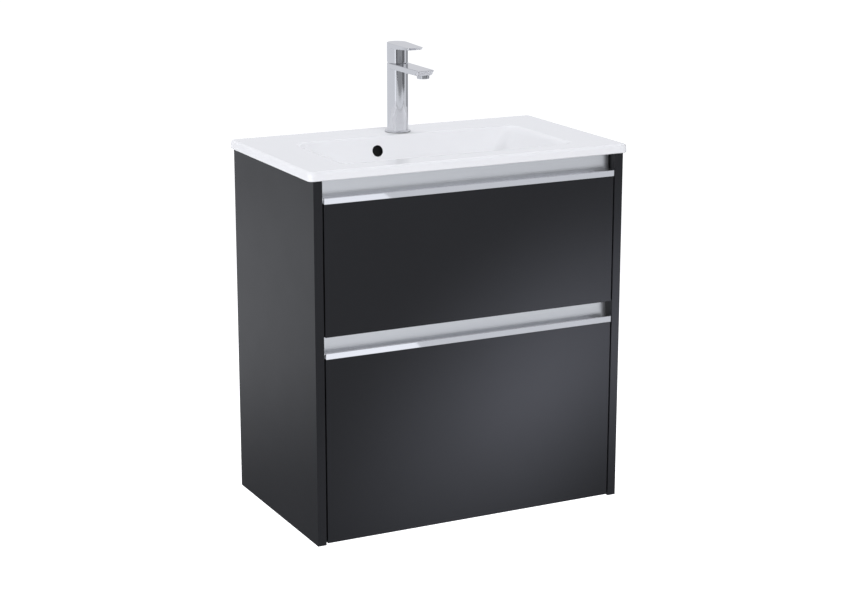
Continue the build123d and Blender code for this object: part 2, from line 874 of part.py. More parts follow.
stub = Plane(origin=(drain[0], drain[1], outlet_z), z_dir=(0, 1, 0))
stub_end = trap_bottle_radius + trap_stub_length
trap_bore = trap_bottle_radius - trap_wall
spigot_radius = pipe_radius - spigot_step
with BuildPart() as trap_bottle:
    post(drain, trap_neck_radius, (trap_shoulder, trap_top))
    post(drain, trap_bottle_radius, (trap_foot, trap_shoulder))
    fillet(trap_bottle.edges().filter_by(GeomType.CIRCLE).group_by(Axis.Z)[1], trap_wall)
    pegs([stub], trap_stub_radius, 0, stub_end)
    post(drain, trap_bore, (trap_foot, trap_shoulder - trap_wall), Mode.SUBTRACT)
    post(drain, pipe_radius + thread_play, (trap_shoulder - trap_wall, trap_top), Mode.SUBTRACT)
    pegs([stub], spigot_radius + thread_play, trap_bore - trap_stub_join, stub_end, Mode.SUBTRACT)
save(trap_bottle, "trap_bottle")

cup_radius = trap_bottle_radius + trap_wall
with BuildPart() as trap_cup:
    post(drain, cup_radius, (trap_foot - trap_cup_depth, trap_foot + trap_cup_overlap))
    fillet(trap_cup.edges().group_by(Axis.Z)[0], 2 * trap_wall)
    cup_mouth = (trap_foot, trap_foot + trap_cup_overlap)
    post(drain, trap_bottle_radius + thread_play, cup_mouth, Mode.SUBTRACT)
    post(drain, trap_bore, (trap_foot - trap_cup_depth + trap_wall, trap_foot), Mode.SUBTRACT)
save(trap_cup, "trap_cup")

with BuildPart() as trap_outlet_pipe:
    outlet_start = trap_bottle_radius + trap_wall
    outlet_end = -drain[1]
    pegs([stub], spigot_radius, outlet_start, stub_end - outlet_start)
    pegs([stub], pipe_radius, stub_end, outlet_end - stub_end)
    outlet_bore = pipe_radius - pipe_wall
    pegs([stub], outlet_bore, outlet_start, outlet_end - outlet_start, Mode.SUBTRACT)
save(trap_outlet_pipe, "trap_outlet_pipe")

# Tap: heights below are above the basin's deck
seam = deck + tap_height
spout_z = (seam - spout_thickness, seam)
chamber_foot = seam + neck_height - cartridge_length
aerator = (tap[0], tap[1] - aerator_reach)
inlets = [(side * inlet_half_spacing, tap[1] + inlet_offset) for side, name in SIDES]
stud = (tap[0], tap[1] - stud_offset)


def blade_plan(reach, tip_half, corner):
    """The plan of a blade that is as wide as the column and narrows to a tip, in a sketch."""
    corner_x = tip_half - corner
    corner_y = tap[1] - reach + corner
    with Locations(tap):
        Circle(tap_radius)
    with Locations((-corner_x, corner_y), (corner_x, corner_y)):
        Circle(corner)
    make_hull()


with BuildPart() as tap_body:
    with BuildSketch(Plane.XY.offset(spout_z[0])):
        blade_plan(spout_reach, spout_tip_half, spout_corner)
    extrude(amount=spout_thickness)
    fillet(tap_body.edges().group_by(Axis.Z)[-1], spout_round)
    fillet(tap_body.edges().group_by(Axis.Z)[0], spout_round)
    post(tap, tap_radius, (deck, middle(spout_z)))
    post(tap, tap_foot_radius, (deck, deck + tap_foot))
    foot_edges = tap_body.edges().filter_by(GeomType.CIRCLE).sort_by(SortBy.RADIUS)[-2:]
    fillet(foot_edges.sort_by(Axis.Z)[-1], tap_foot / 2)

    # Neck over the cartridge, water ways and fixing hole
    post(tap, neck_radius, (seam, seam + neck_height))
    post(tap, cartridge_radius + thread_play, (chamber_foot, seam + neck_height), Mode.SUBTRACT)
    way = Plane(origin=(tap[0], tap[1], middle(spout_z)), z_dir=(0, -1, 0))
    pegs([way], spout_way_radius, cartridge_radius, aerator_reach - cartridge_radius, Mode.SUBTRACT)
    post(
        aerator,
        aerator_thread_radius + thread_play,
        (spout_z[0], spout_z[0] + aerator_thread),
        Mode.SUBTRACT,
    )
    for place in inlets:
        post(place, inlet_radius, (deck, deck + inlet_depth), Mode.SUBTRACT)
        post(place, inlet_way_radius, (deck + inlet_depth, chamber_foot), Mode.SUBTRACT)
    post(stud, stud_radius + thread_play, (deck, deck + stud_depth), Mode.SUBTRACT)
save(tap_body, "tap_body")

with BuildPart() as tap_aerator:
    post(aerator, aerator_radius, (spout_z[0] - aerator_drop, spout_z[0]))
    post(aerator, aerator_thread_radius, (spout_z[0], spout_z[0] + aerator_thread))
    fillet(tap_aerator.edges().group_by(Axis.Z)[0], spout_round)
    post(aerator, aerator_bore, (spout_z[0] - aerator_drop, spout_z[0]), Mode.SUBTRACT)
    with BuildSketch(Plane.XY.offset(spout_z[0])):
        with Locations(aerator):
            with GridLocations(mesh_pitch, mesh_pitch, mesh_rows, mesh_rows):
                Circle(mesh_hole_radius)
    extrude(amount=aerator_thread, mode=Mode.SUBTRACT)
save(tap_aerator, "tap_aerator")

# Cartridge: fixed body and nut, a carrier that turns and a spindle that tilts in it
cartridge_top = seam + neck_height
nut_top = cartridge_top + cartridge_nut_height
carrier_z = (seam, nut_top)
carrier_bore = carrier_radius + carrier_play
with BuildPart() as tap_cartridge:
    post(tap, cartridge_radius, (chamber_foot, cartridge_top))
    post(tap, carrier_bore, (seam - carrier_play, cartridge_top), Mode.SUBTRACT)
    for place in inlets:
        post(place, inlet_way_radius, (chamber_foot, chamber_foot + inlet_depth), Mode.SUBTRACT)
save(tap_cartridge, "tap_cartridge")

with BuildPart() as cartridge_nut:
    with BuildSketch(Plane.XY.offset(cartridge_top)):
        with Locations(tap):
            RegularPolygon(neck_radius, 6)
            Circle(carrier_bore, mode=Mode.SUBTRACT)
    extrude(amount=cartridge_nut_height)
save(cartridge_nut, "cartridge_nut")

pivot = Plane(origin=(tap[0], tap[1], deck + pivot_height), z_dir=(1, 0, 0))
spindle_foot = seam + spindle_foot_room
lift = radians(lever_lift)
tilted_half = (spindle_radius + (nut_top - deck - pivot_height) * sin(lift)) / cos(lift)
slot_half = tilted_half + spindle_slot_room
with BuildPart() as cartridge_carrier:
    post(tap, carrier_radius, carrier_z)
    block(
        (-spindle_half_width - spindle_play, spindle_half_width + spindle_play),
        (tap[1] - slot_half, tap[1] + slot_half),
        carrier_z,
        Mode.SUBTRACT,
    )
    pegs([pivot], pivot_radius + pivot_play, -carrier_radius, 2 * carrier_radius, Mode.SUBTRACT)
save(cartridge_carrier, "cartridge_carrier")

with BuildPart() as cartridge_spindle:
    block(
        (-spindle_half_width, spindle_half_width),
        (tap[1] - spindle_half_depth, tap[1] + spindle_half_depth),
        (spindle_foot, nut_top),
    )
    post(tap, spindle_radius, (nut_top, deck + spindle_top))
    pin_half = carrier_radius - pivot_end_room
    pegs([pivot], pivot_radius, -pin_half, 2 * pin_half)
save(cartridge_spindle, "cartridge_spindle")

# Handle: a cap over the cartridge with a flat lever on top
lever_foot = seam + lever_gap
tip_y = tap[1] - lever_reach
lever_top = deck + lever_height
with BuildPart() as tap_lever:
    with BuildSketch(Plane.YZ.offset(-tap_radius)):
        with BuildLine():
            Polyline(
                (tap[1] + tap_radius, deck + lever_deck),
                (tap[1] + tap_radius, lever_top),
                (tip_y, lever_top - lever_tip_fall),
                (tip_y, lever_top - lever_tip_fall - lever_tip_thickness),
                (tap[1] - tap_radius, deck + lever_deck),
                close=True,
            )
        make_face()
    extrude(amount=2 * tap_radius)
    with BuildSketch(Plane.XY.offset(deck + lever_deck)):
        blade_plan(lever_reach, lever_tip_half, lever_corner)
    extrude(amount=lever_height - lever_deck, mode=Mode.INTERSECT)
    fillet(tap_lever.faces().sort_by(Axis.Z)[-1].edges(), lever_round)

    # Cap with a boss for the spindle, cut away behind so that the lever can lift
    post(tap, tap_radius, (lever_foot, deck + lever_deck))
    post(tap, tap_radius - lever_wall, (lever_foot, deck + lever_deck), Mode.SUBTRACT)
    post(tap, lever_boss_radius, (deck + lever_deck - lever_boss_drop, deck + lever_deck))
    boss_z = (deck + lever_deck - lever_boss_drop, deck + spindle_top + spindle_play)
    post(tap, spindle_radius + spindle_play, boss_z, Mode.SUBTRACT)
    with BuildSketch(Plane.YZ.offset(-tap_radius)):
        with BuildLine():
            rise = tap_radius * tan(radians(lever_lift + lever_lift_spare))
            Polyline(
                (tap[1], lever_foot),
                (tap[1] + tap_radius, lever_foot),
                (tap[1] + tap_radius, lever_foot + rise),
                close=True,
            )
        make_face()
    extrude(amount=2 * tap_radius, mode=Mode.SUBTRACT)
save(tap_lever, "tap_lever")

# Fixing under the basin: stud, clamp plate and nut
clamp_z = (panel_top - clamp_thickness, panel_top)
with BuildPart() as tap_fixing_stud:
    post(stud, stud_radius, (panel_top - stud_drop, deck + stud_depth))
save(tap_fixing_stud, "tap_fixing_stud")

with BuildPart() as tap_fixing_plate:
    post(tap, clamp_radius, clamp_z)
    block(
        (-clamp_radius, clamp_radius),
        (tap[1] - clamp_cut, tap[1] + clamp_radius),
        clamp_z,
        Mode.SUBTRACT,
    )
    post(stud, stud_radius + thread_play, clamp_z, Mode.SUBTRACT)
save(tap_fixing_plate, "tap_fixing_plate")

with BuildPart() as tap_fixing_nut:
    with BuildSketch(Plane.XY.offset(clamp_z[0])):
        with Locations(stud):
            RegularPolygon(stud_nut_radius, 6)
            Circle(stud_radius + thread_play, mode=Mode.SUBTRACT)
    extrude(amount=-stud_nut_height)
save(tap_fixing_nut, "tap_fixing_nut")
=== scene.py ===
"""Looks of a wall-hung vanity cabinet with drawers, a ceramic basin and a single-lever tap.

Lengths are metres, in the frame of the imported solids: X runs along the front, -Y faces the room,
Z is up and the origin lies on the wall, in the middle of the wall screws.
"""

import json
import logging
import math
from dataclasses import dataclass, field
from enum import Enum
from typing import Any, ClassVar

import bmesh
import bpy
import numpy as np
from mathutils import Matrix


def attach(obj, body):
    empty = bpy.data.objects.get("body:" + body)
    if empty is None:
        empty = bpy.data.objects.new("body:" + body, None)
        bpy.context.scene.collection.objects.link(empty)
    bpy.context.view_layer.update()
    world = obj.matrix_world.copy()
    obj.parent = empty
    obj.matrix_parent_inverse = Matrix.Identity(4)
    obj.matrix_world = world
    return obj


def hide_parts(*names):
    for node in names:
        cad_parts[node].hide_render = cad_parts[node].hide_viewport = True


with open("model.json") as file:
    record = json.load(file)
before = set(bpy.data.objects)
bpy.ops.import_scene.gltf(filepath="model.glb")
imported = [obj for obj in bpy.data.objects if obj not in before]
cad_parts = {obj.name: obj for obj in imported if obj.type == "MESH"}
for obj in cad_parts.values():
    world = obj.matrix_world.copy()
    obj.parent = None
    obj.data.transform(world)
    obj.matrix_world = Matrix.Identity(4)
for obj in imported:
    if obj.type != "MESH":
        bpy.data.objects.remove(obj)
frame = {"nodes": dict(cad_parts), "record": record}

Array = np.ndarray
Pair = tuple[float, float]
Point = tuple[float, float, float]
Corners = tuple[Point, ...]
Colour = tuple[float, float, float]
Socket = bpy.types.NodeSocket
log = logging.getLogger("vanity")


class Coat(Enum):
    """The grain groups that finishes share."""

    CLOUD = "cloud"
    PEEL = "peel"
    BRUSHED = "brushed"


class Bench:
    """Places and joins the nodes of one tree."""

    def __init__(self, tree: bpy.types.NodeTree) -> None:
        """Starts from an empty tree.

        Args:
            tree: the node tree to fill.
        """
        self.tree = tree
        tree.nodes.clear()

    def add(self, kind: str, inputs: dict[Any, Any] | None = None, **traits: Any) -> bpy.types.Node:
        """Adds a node.

        Args:
            kind: the node's type, such as ShaderNodeTexNoise.
            inputs: socket names or numbers, each with a plain value or an output to link from.
            traits: the node's own settings.

        Returns:
            The new node.
        """
        node = self.tree.nodes.new(kind)
        for name, value in traits.items():
            setattr(node, name, value)
        for name, value in (inputs or {}).items():
            if isinstance(value, bpy.types.NodeSocket):
                self.tree.links.new(value, node.inputs[name])
            else:
                node.inputs[name].default_value = value
        return node

    def mix(self, mask: Socket, first: Socket, second: Socket) -> Socket:
        """A colour between two others, by a mask."""
        inputs = {0: mask, 6: first, 7: second}
        return self.add("ShaderNodeMix", inputs, data_type="RGBA").outputs[2]

    def reckon(self, operation: str, *values: Any) -> Socket:
        """The outcome of one operation on numbers or sockets."""
        return self.add("ShaderNodeMath", dict(enumerate(values)), operation=operation).outputs[0]

    def ranged(self, value: Socket, span: Pair, to: tuple[Any, Any] = (0.0, 1.0)) -> Socket:
        """Carries a value from one range to another, and holds it there.

        Args:
            value: the value's socket.
            span: the range it comes in.
            to: the range it goes to, as numbers or sockets.

        Returns:
            The carried value's socket.
        """
        ends = {"From Min": span[0], "From Max": span[1], "To Min": to[0], "To Max": to[1]}
        return self.add("ShaderNodeMapRange", {"Value": value, **ends}).outputs["Result"]


# The noises have most of their values within these limits.
NOISE_SPAN = (0.3, 0.7)
SMUDGE_SPAN = (0.25, 0.75)
# A socket's kind, by how many numbers its value has.
SOCKET_KINDS = {1: "Float", 3: "Vector", 4: "Color"}


def new_group(name: str, inputs: dict[str, Any], outputs: dict[str, str]) -> bpy.types.NodeTree:
    """Starts a shader group with named sockets.

    Args:
        name: the group's name.
        inputs: each input's default: a number, three of them for a vector or four for a colour.
        outputs: each output's kind, Float or Color.

    Returns:
        The group, still without nodes.
    """
    tree = bpy.data.node_groups.new(name, "ShaderNodeTree")
    for title, value in inputs.items():
        kind = f"NodeSocket{SOCKET_KINDS[np.size(value)]}"
        tree.interface.new_socket(name=title, in_out="INPUT", socket_type=kind).default_value = value
    for title, kind in outputs.items():
        tree.interface.new_socket(name=title, in_out="OUTPUT", socket_type=f"NodeSocket{kind}")
    return tree


def cloud_group() -> bpy.types.NodeTree:
    """Slow, soft variation that blends between two tones.

    Returns:
        A group with the blended colour.
    """
    tree = new_group(
        "Cloud",
        {"Tone": (0.5, 0.5, 0.5, 1.0), "Second Tone": (0.4, 0.4, 0.4, 1.0), "Scale": 8.0},
        {"Color": "Color"},
    )
    bench = Bench(tree)
    given = bench.add("NodeGroupInput").outputs
    place = bench.add("ShaderNodeTexCoord").outputs["Object"]
    noise = bench.add(
        "ShaderNodeTexNoise", {"Vector": place, "Scale": given["Scale"], "Detail": 5.0, "Roughness": 0.6}
    )
    mask = bench.ranged(noise.outputs["Fac"], NOISE_SPAN)
    bench.add("NodeGroupOutput", {"Color": bench.mix(mask, given["Tone"], given["Second Tone"])})
    return tree


def peel_group() -> bpy.types.NodeTree:
    """Fine dimples of a sprayed, moulded or fired surface.

    Returns:
        A group with the height of the dimples and a roughness between two limits.
    """
    tree = new_group(
        "Peel",
        {"Scale": 900.0, "Smudge Scale": 14.0, "Smooth": 0.3, "Rough": 0.4},
        {"Height": "Float", "Roughness": "Float"},
    )
    bench = Bench(tree)
    given = bench.add("NodeGroupInput").outputs
    place = bench.add("ShaderNodeTexCoord").outputs["Object"]
    dimples = bench.add("ShaderNodeTexNoise", {"Vector": place, "Scale": given["Scale"], "Detail": 2.0})
    smudge = bench.add(
        "ShaderNodeTexNoise", {"Vector": place, "Scale": given["Smudge Scale"], "Detail": 4.0}
    )
    sheen = bench.ranged(smudge.outputs["Fac"], SMUDGE_SPAN, (given["Smooth"], given["Rough"]))
    bench.add("NodeGroupOutput", {"Height": dimples.outputs["Fac"], "Roughness": sheen})
    return tree


def brushed_group() -> bpy.types.NodeTree:
    """Hair lines drawn along one direction.

    Returns:
        A group with the lines' height, a colour between two tones and a roughness.
    """
    tree = new_group(
        "Brushed",
        {
            "Tone": (0.8, 0.8, 0.8, 1.0),
            "Second Tone": (0.7, 0.7, 0.7, 1.0),
            "Stretch": (3.0, 700.0, 700.0),
            "Smooth": 0.25,
            "Rough": 0.4,
        },
        {"Color": "Color", "Height": "Float", "Roughness": "Float"},
    )
    bench = Bench(tree)
    given = bench.add("NodeGroupInput").outputs
    place = bench.add("ShaderNodeTexCoord").outputs["Object"]
    along = bench.add("ShaderNodeMapping", {"Vector": place, "Scale": given["Stretch"]})
    lines = bench.add(
        "ShaderNodeTexNoise", {"Vector": along.outputs["Vector"], "Scale": 1.0, "Detail": 3.0}
    ).outputs["Fac"]
    mixed = bench.mix(bench.ranged(lines, NOISE_SPAN), given["Tone"], given["Second Tone"])
    sheen = bench.ranged(lines, NOISE_SPAN, (given["Smooth"], given["Rough"]))
    bench.add("NodeGroupOutput", {"Color": mixed, "Height": lines, "Roughness": sheen})
    return tree


GROUP_MAKERS = {Coat.CLOUD: cloud_group, Coat.PEEL: peel_group, Coat.BRUSHED: brushed_group}
groups: dict[Coat, bpy.types.NodeTree] = {coat: make() for coat, make in GROUP_MAKERS.items()}


def grouped(bench: Bench, coat: Coat, inputs: dict[str, Any]) -> bpy.types.NodeOutputs:
    """Places a shared grain group in a material.

    Args:
        bench: the material's nodes.
        coat: which group.
        inputs: its socket values.

    Returns:
        The group's outputs.
    """
    node = bench.add("ShaderNodeGroup", node_tree=groups[coat])
    for name, value in inputs.items():
        node.inputs[name].default_value = value
    return node.outputs


def tone(colour: Colour, share: float = 1.0) -> tuple[float, float, float, float]:
    """A colour times a share, with full alpha."""
    return (colour[0] * share, colour[1] * share, colour[2] * share, 1.0)


@dataclass(frozen=True)
class Finish:
    """A procedural finish with a grain of two tones.

    Attributes:
        name: the material's name.
        colour: the base colour.
        second: how bright the second tone is against it.
        smooth: the least roughness.
        rough: the greatest roughness.
        depth: how strongly the relief shows.
        metal: one for metal, zero for the rest.
        relief: how deep the relief is in metres.
    """

    name: str
    colour: Colour
    second: float = 0.93
    smooth: float = 0.3
    rough: float = 0.4
    depth: float = 0.05
    metal: float = 0.0
    relief: ClassVar[float] = 0.0004

    def grain(self, bench: Bench) -> tuple[dict[str, Any], Socket]:
        """The finish's own nodes: what they give the shader, and the relief's height."""
        raise NotImplementedError

    def tones(self) -> dict[str, Any]:
        """The two tones, for a grain group."""
        return {"Tone": tone(self.colour), "Second Tone": tone(self.colour, self.second)}

    def limits(self) -> dict[str, Any]:
        """The limits of the roughness, for a grain group."""
        return {"Smooth": self.smooth, "Rough": self.rough}

    def material(self) -> bpy.types.Material:
        """Builds the finish.

        Returns:
            The material, made once.
        """
        if self.name in bpy.data.materials:
            return bpy.data.materials[self.name]
        made = bpy.data.materials.new(self.name)
        made.use_nodes = True
        bench = Bench(made.node_tree)
        surface, height = self.grain(bench)
        bump = bench.add(
            "ShaderNodeBump", {"Strength": self.depth, "Distance": self.relief, "Height": height}
        )
        shader = bench.add(
            "ShaderNodeBsdfPrincipled",
            {**surface, "Metallic": self.metal, "Normal": bump.outputs["Normal"]},
        )
        bench.add("ShaderNodeOutputMaterial", {"Surface": shader.outputs[0]})
        return made


@dataclass(frozen=True)
class Skin(Finish):
    """A sprayed, moulded or fired finish: clouded colour, smudged gloss and fine dimples.

    Attributes:
        cloud: clouds per metre.
        peel: dimples per metre.
        gloss: the specular level.
    """

    cloud: float = 9.0
    peel: float = 900.0
    gloss: float = 0.5

    def grain(self, bench: Bench) -> tuple[dict[str, Any], Socket]:
        """Clouds for the colour, and dimples for roughness and relief.

        Args:
            bench: the material's nodes.

        Returns:
            Values for the shader, and the dimples' height.
        """
        cloud = grouped(bench, Coat.CLOUD, {**self.tones(), "Scale": self.cloud})
        peel = grouped(bench, Coat.PEEL, {**self.limits(), "Scale": self.peel})
        surface = {
            "Base Color": cloud["Color"],
            "Roughness": peel["Roughness"],
            "Specular IOR Level": self.gloss,
        }
        return surface, peel["Height"]


@dataclass(frozen=True)
class Brushed(Finish):
    """Metal or wood with lines along one direction.

    Attributes:
        stretch: lines per metre along X, Y and Z.
    """

    stretch: Point = (3.0, 700.0, 700.0)
    relief: ClassVar[float] = 0.0003

    def grain(self, bench: Bench) -> tuple[dict[str, Any], Socket]:
        """Lines for colour, roughness and relief.

        Args:
            bench: the material's nodes.

        Returns:
            Values for the shader, and the lines' height.
        """
        lines = grouped(
            bench, Coat.BRUSHED, {**self.tones(), **self.limits(), "Stretch": self.stretch}
        )
        return {"Base Color": lines["Color"], "Roughness": lines["Roughness"]}, lines["Height"]


LACQUER = Skin(
    "anthracite_lacquer", (0.0146, 0.0150, 0.0169), 0.95, 0.345, 0.365, 0.03, 0.0, 7.0, 1400.0, 0.205
)
MELAMINE = Skin("grey_melamine", (0.105, 0.108, 0.115), 0.86, 0.48, 0.58, 0.08, 0.0, 60.0, 2200.0, 0.35)
LINER = Skin("grey_liner", (0.1, 0.103, 0.11), 0.92, 0.42, 0.52, 0.12, 0.0, 20.0, 1800.0, 0.4)
GLAZE = Skin("white_glaze", (0.806, 0.806, 0.808), 0.985, 0.10, 0.14, 0.02, 0.0, 6.0, 60.0, 0.5)
# Near-black for the overflow's tube and its end: painted shade for the dark inside of the hole.
PAINTED_SHADE = Skin("overflow_painted_shade", (0.006, 0.006, 0.006), 0.8, 0.6, 0.7, 0.05, 0.0, 30.0, 900.0, 0.2)
CHROME = Skin("polished_chrome", (0.75, 0.757, 0.78), 0.97, 0.035, 0.075, 0.006, 1.0, 25.0, 300.0, 0.5)
AERATOR = Skin("aerator_chrome", (0.66, 0.67, 0.69), 0.9, 0.12, 0.2, 0.02, 1.0, 60.0, 600.0, 0.5)
LIP = Skin("bright_lip", (0.79, 0.80, 0.83), 0.97, 0.02, 0.045, 0.002, 1.0, 12.0, 300.0, 0.5)
CHANNEL = Brushed("satin_channel", (0.965, 0.98, 1.0), 0.99, 0.30, 0.34, 0.004, 1.0, (2.5, 900.0, 900.0))
ZINC = Brushed("zinc_sheet", (0.60, 0.61, 0.62), 0.82, 0.28, 0.48, 0.05, 1.0, (60.0, 40.0, 55.0))
SCREW = Skin("zinc_screw", (0.58, 0.58, 0.56), 0.85, 0.22, 0.4, 0.04, 1.0, 150.0, 900.0, 0.5)
BEECH = Brushed("beech", (0.50, 0.32, 0.16), 0.75, 0.5, 0.65, 0.1, 0.0, (260.0, 260.0, 30.0))
RUBBER = Skin("black_rubber", (0.012, 0.012, 0.012), 0.75, 0.55, 0.7, 0.2, 0.0, 40.0, 1200.0, 0.4)
WHITE_PLASTIC = Skin("white_plastic", (0.72, 0.725, 0.72), 0.96, 0.24, 0.36, 0.05, 0.0, 30.0, 1200.0, 0.5)
GREY_PLASTIC = Skin("grey_plastic", (0.085, 0.088, 0.095), 0.88, 0.35, 0.5, 0.1, 0.0, 90.0, 1500.0, 0.45)
BRASS = Skin("turned_brass", (0.60, 0.43, 0.17), 0.86, 0.16, 0.3, 0.04, 1.0, 120.0, 900.0, 0.5)

SLOT_FINISH: dict[str, Finish] = {
    "carcass_board": LACQUER,
    "front_board": LACQUER,
    "drawer_board": MELAMINE,
    "recess_liner": LINER,
    "profile": CHANNEL,
    "dowel": BEECH,
    "screw": SCREW,
    "runner": ZINC,
    "bracket": ZINC,
    "ceramic": GLAZE,
    "chrome": CHROME,
    "aerator": AERATOR,
    "seal": RUBBER,
    "trap": WHITE_PLASTIC,
    "cartridge": GREY_PLASTIC,
    "tap_brass": BRASS,
    "fixing_steel": ZINC,
}

# Points closer than the first become one, and edges shorter than the second go.
WELD = 1e-6
SLIVER = 1e-7


@dataclass
class Shell:
    """Grids of points that together make one mesh.

    Attributes:
        points: blocks of points.
        faces: blocks of corner indices, four to a face.
        looks: each block's finish numbers, one to a face.
        count: how many points there are so far.
    """

    points: list[Array] = field(default_factory=list)
    faces: list[Array] = field(default_factory=list)
    looks: list[Array] = field(default_factory=list)
    count: int = 0

    def grid(
        self,
        sheet: Array,
        round_u: bool = False,
        round_v: bool = False,
        look: int | Array = 0,
        keep: Array | None = None,
    ) -> None:
        """Adds a grid of points, with a face between each four neighbours.

        Args:
            sheet: points by row (v), column (u) and coordinate.
            round_u: joins the last column to the first.
            round_v: joins the last row to the first.
            look: the finish number, or one for each face by row and column.
            keep: which faces to keep, by row and column.
        """
        rows, columns = sheet.shape[:2]
        index = self.count + np.arange(rows * columns).reshape(rows, columns)
        if round_u:
            index = np.concatenate([index, index[:, :1]], axis=1)
        if round_v:
            index = np.concatenate([index, index[:1]], axis=0)
        quads = np.stack([index[:-1, :-1], index[:-1, 1:], index[1:, 1:], index[1:, :-1]], axis=-1)
        look_of = np.broadcast_to(np.asarray(look), quads.shape[:2])
        chosen = np.ones(quads.shape[:2], bool) if keep is None else keep
        self.points.append(sheet.reshape(-1, 3))
        self.faces.append(quads[chosen])
        self.looks.append(look_of[chosen])
        self.count += rows * columns

    def piece(
        self,
        name: str,
        finishes: list[Finish],
        body: str,
        slot: str,
        node: str,
        crease: float = 34.0,
    ) -> bpy.types.Object:
        """Joins the grids, points their faces outwards and places the piece on its body.

        Args:
            name: the piece's name.
            finishes: the finishes, in the order of their numbers.
            body: the body that carries it.
            slot: the record's material slot; not used.
            node: the solid that it stands for.
            crease: edges that turn by more than this many degrees stay sharp.

        Returns:
            The new object.
        """
        mesh = bpy.data.meshes.new(name)
        mesh.from_pydata(np.concatenate(self.points).tolist(), [], np.concatenate(self.faces).tolist())
        mesh.polygons.foreach_set("material_index", np.concatenate(self.looks).astype(np.int32))
        work = bmesh.new()
        work.from_mesh(mesh)
        bmesh.ops.remove_doubles(work, verts=work.verts, dist=WELD)
        bmesh.ops.dissolve_degenerate(work, edges=work.edges, dist=SLIVER)
        bmesh.ops.recalc_face_normals(work, faces=work.faces)
        work.to_mesh(mesh)
        work.free()
        mesh.polygons.foreach_set("use_smooth", np.ones(len(mesh.polygons), bool))
        mesh.set_sharp_from_angle(angle=math.radians(crease))
        for finish in finishes:
            mesh.materials.append(finish.material())
        piece = bpy.data.objects.new(name, mesh)
        bpy.context.scene.collection.objects.link(piece)
        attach(piece, body)
        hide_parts(node)
        log.info("%s: %d faces on %s", name, len(mesh.polygons), body)
        return piece


def blend(first: Array, last: Array, rows: int) -> Array:
    """Rows of points that go straight from one row to another, both ends included.

    Args:
        first: the first row.
        last: the last row.
        rows: how many rows.

    Returns:
        Points by row, column and coordinate.
    """
    share = np.linspace(0.0, 1.0, rows)[:, None, None]
    return (1 - share) * first[None] + share * last[None]


def level(plan: Array, height: float | Array) -> Array:
    """Adds heights to plan points.

    Args:
        plan: points with X and Y in the last axis.
        height: one height, or an array that broadcasts over the points.

    Returns:
        The same points with Z.
    """
    z = np.broadcast_to(np.asarray(height, float), plan.shape[:-1])
    return np.concatenate([plan, z[..., None]], axis=-1)


def turned(profile: Array, axis: Pair, steps: int = 96) -> Array:
    """Carries a profile of radius and height once around an upright axis.

    The point at angle a is the axis plus the radius times (cos a, sin a), at the profile's height.

    Args:
        profile: rows of radius and height.
        axis: the axis in plan.
        steps: points around.

    Returns:
        Points by profile row, angle and coordinate.
    """
    angle = np.linspace(0.0, 2 * math.pi, steps, endpoint=False)
    circle = np.stack([np.cos(angle), np.sin(angle)], axis=-1)
    plan = np.asarray(axis) + profile[:, None, :1] * circle[None]
    return level(plan, profile[:, None, 1])


def arc(centre: Pair, radius: float, start: float, stop: float, count: int = 9) -> Array:
    """Points on a circular arc in a plane, from one angle to another in degrees."""
    angle = np.radians(np.linspace(start, stop, count))
    return np.asarray(centre) + radius * np.stack([np.cos(angle), np.sin(angle)], axis=-1)


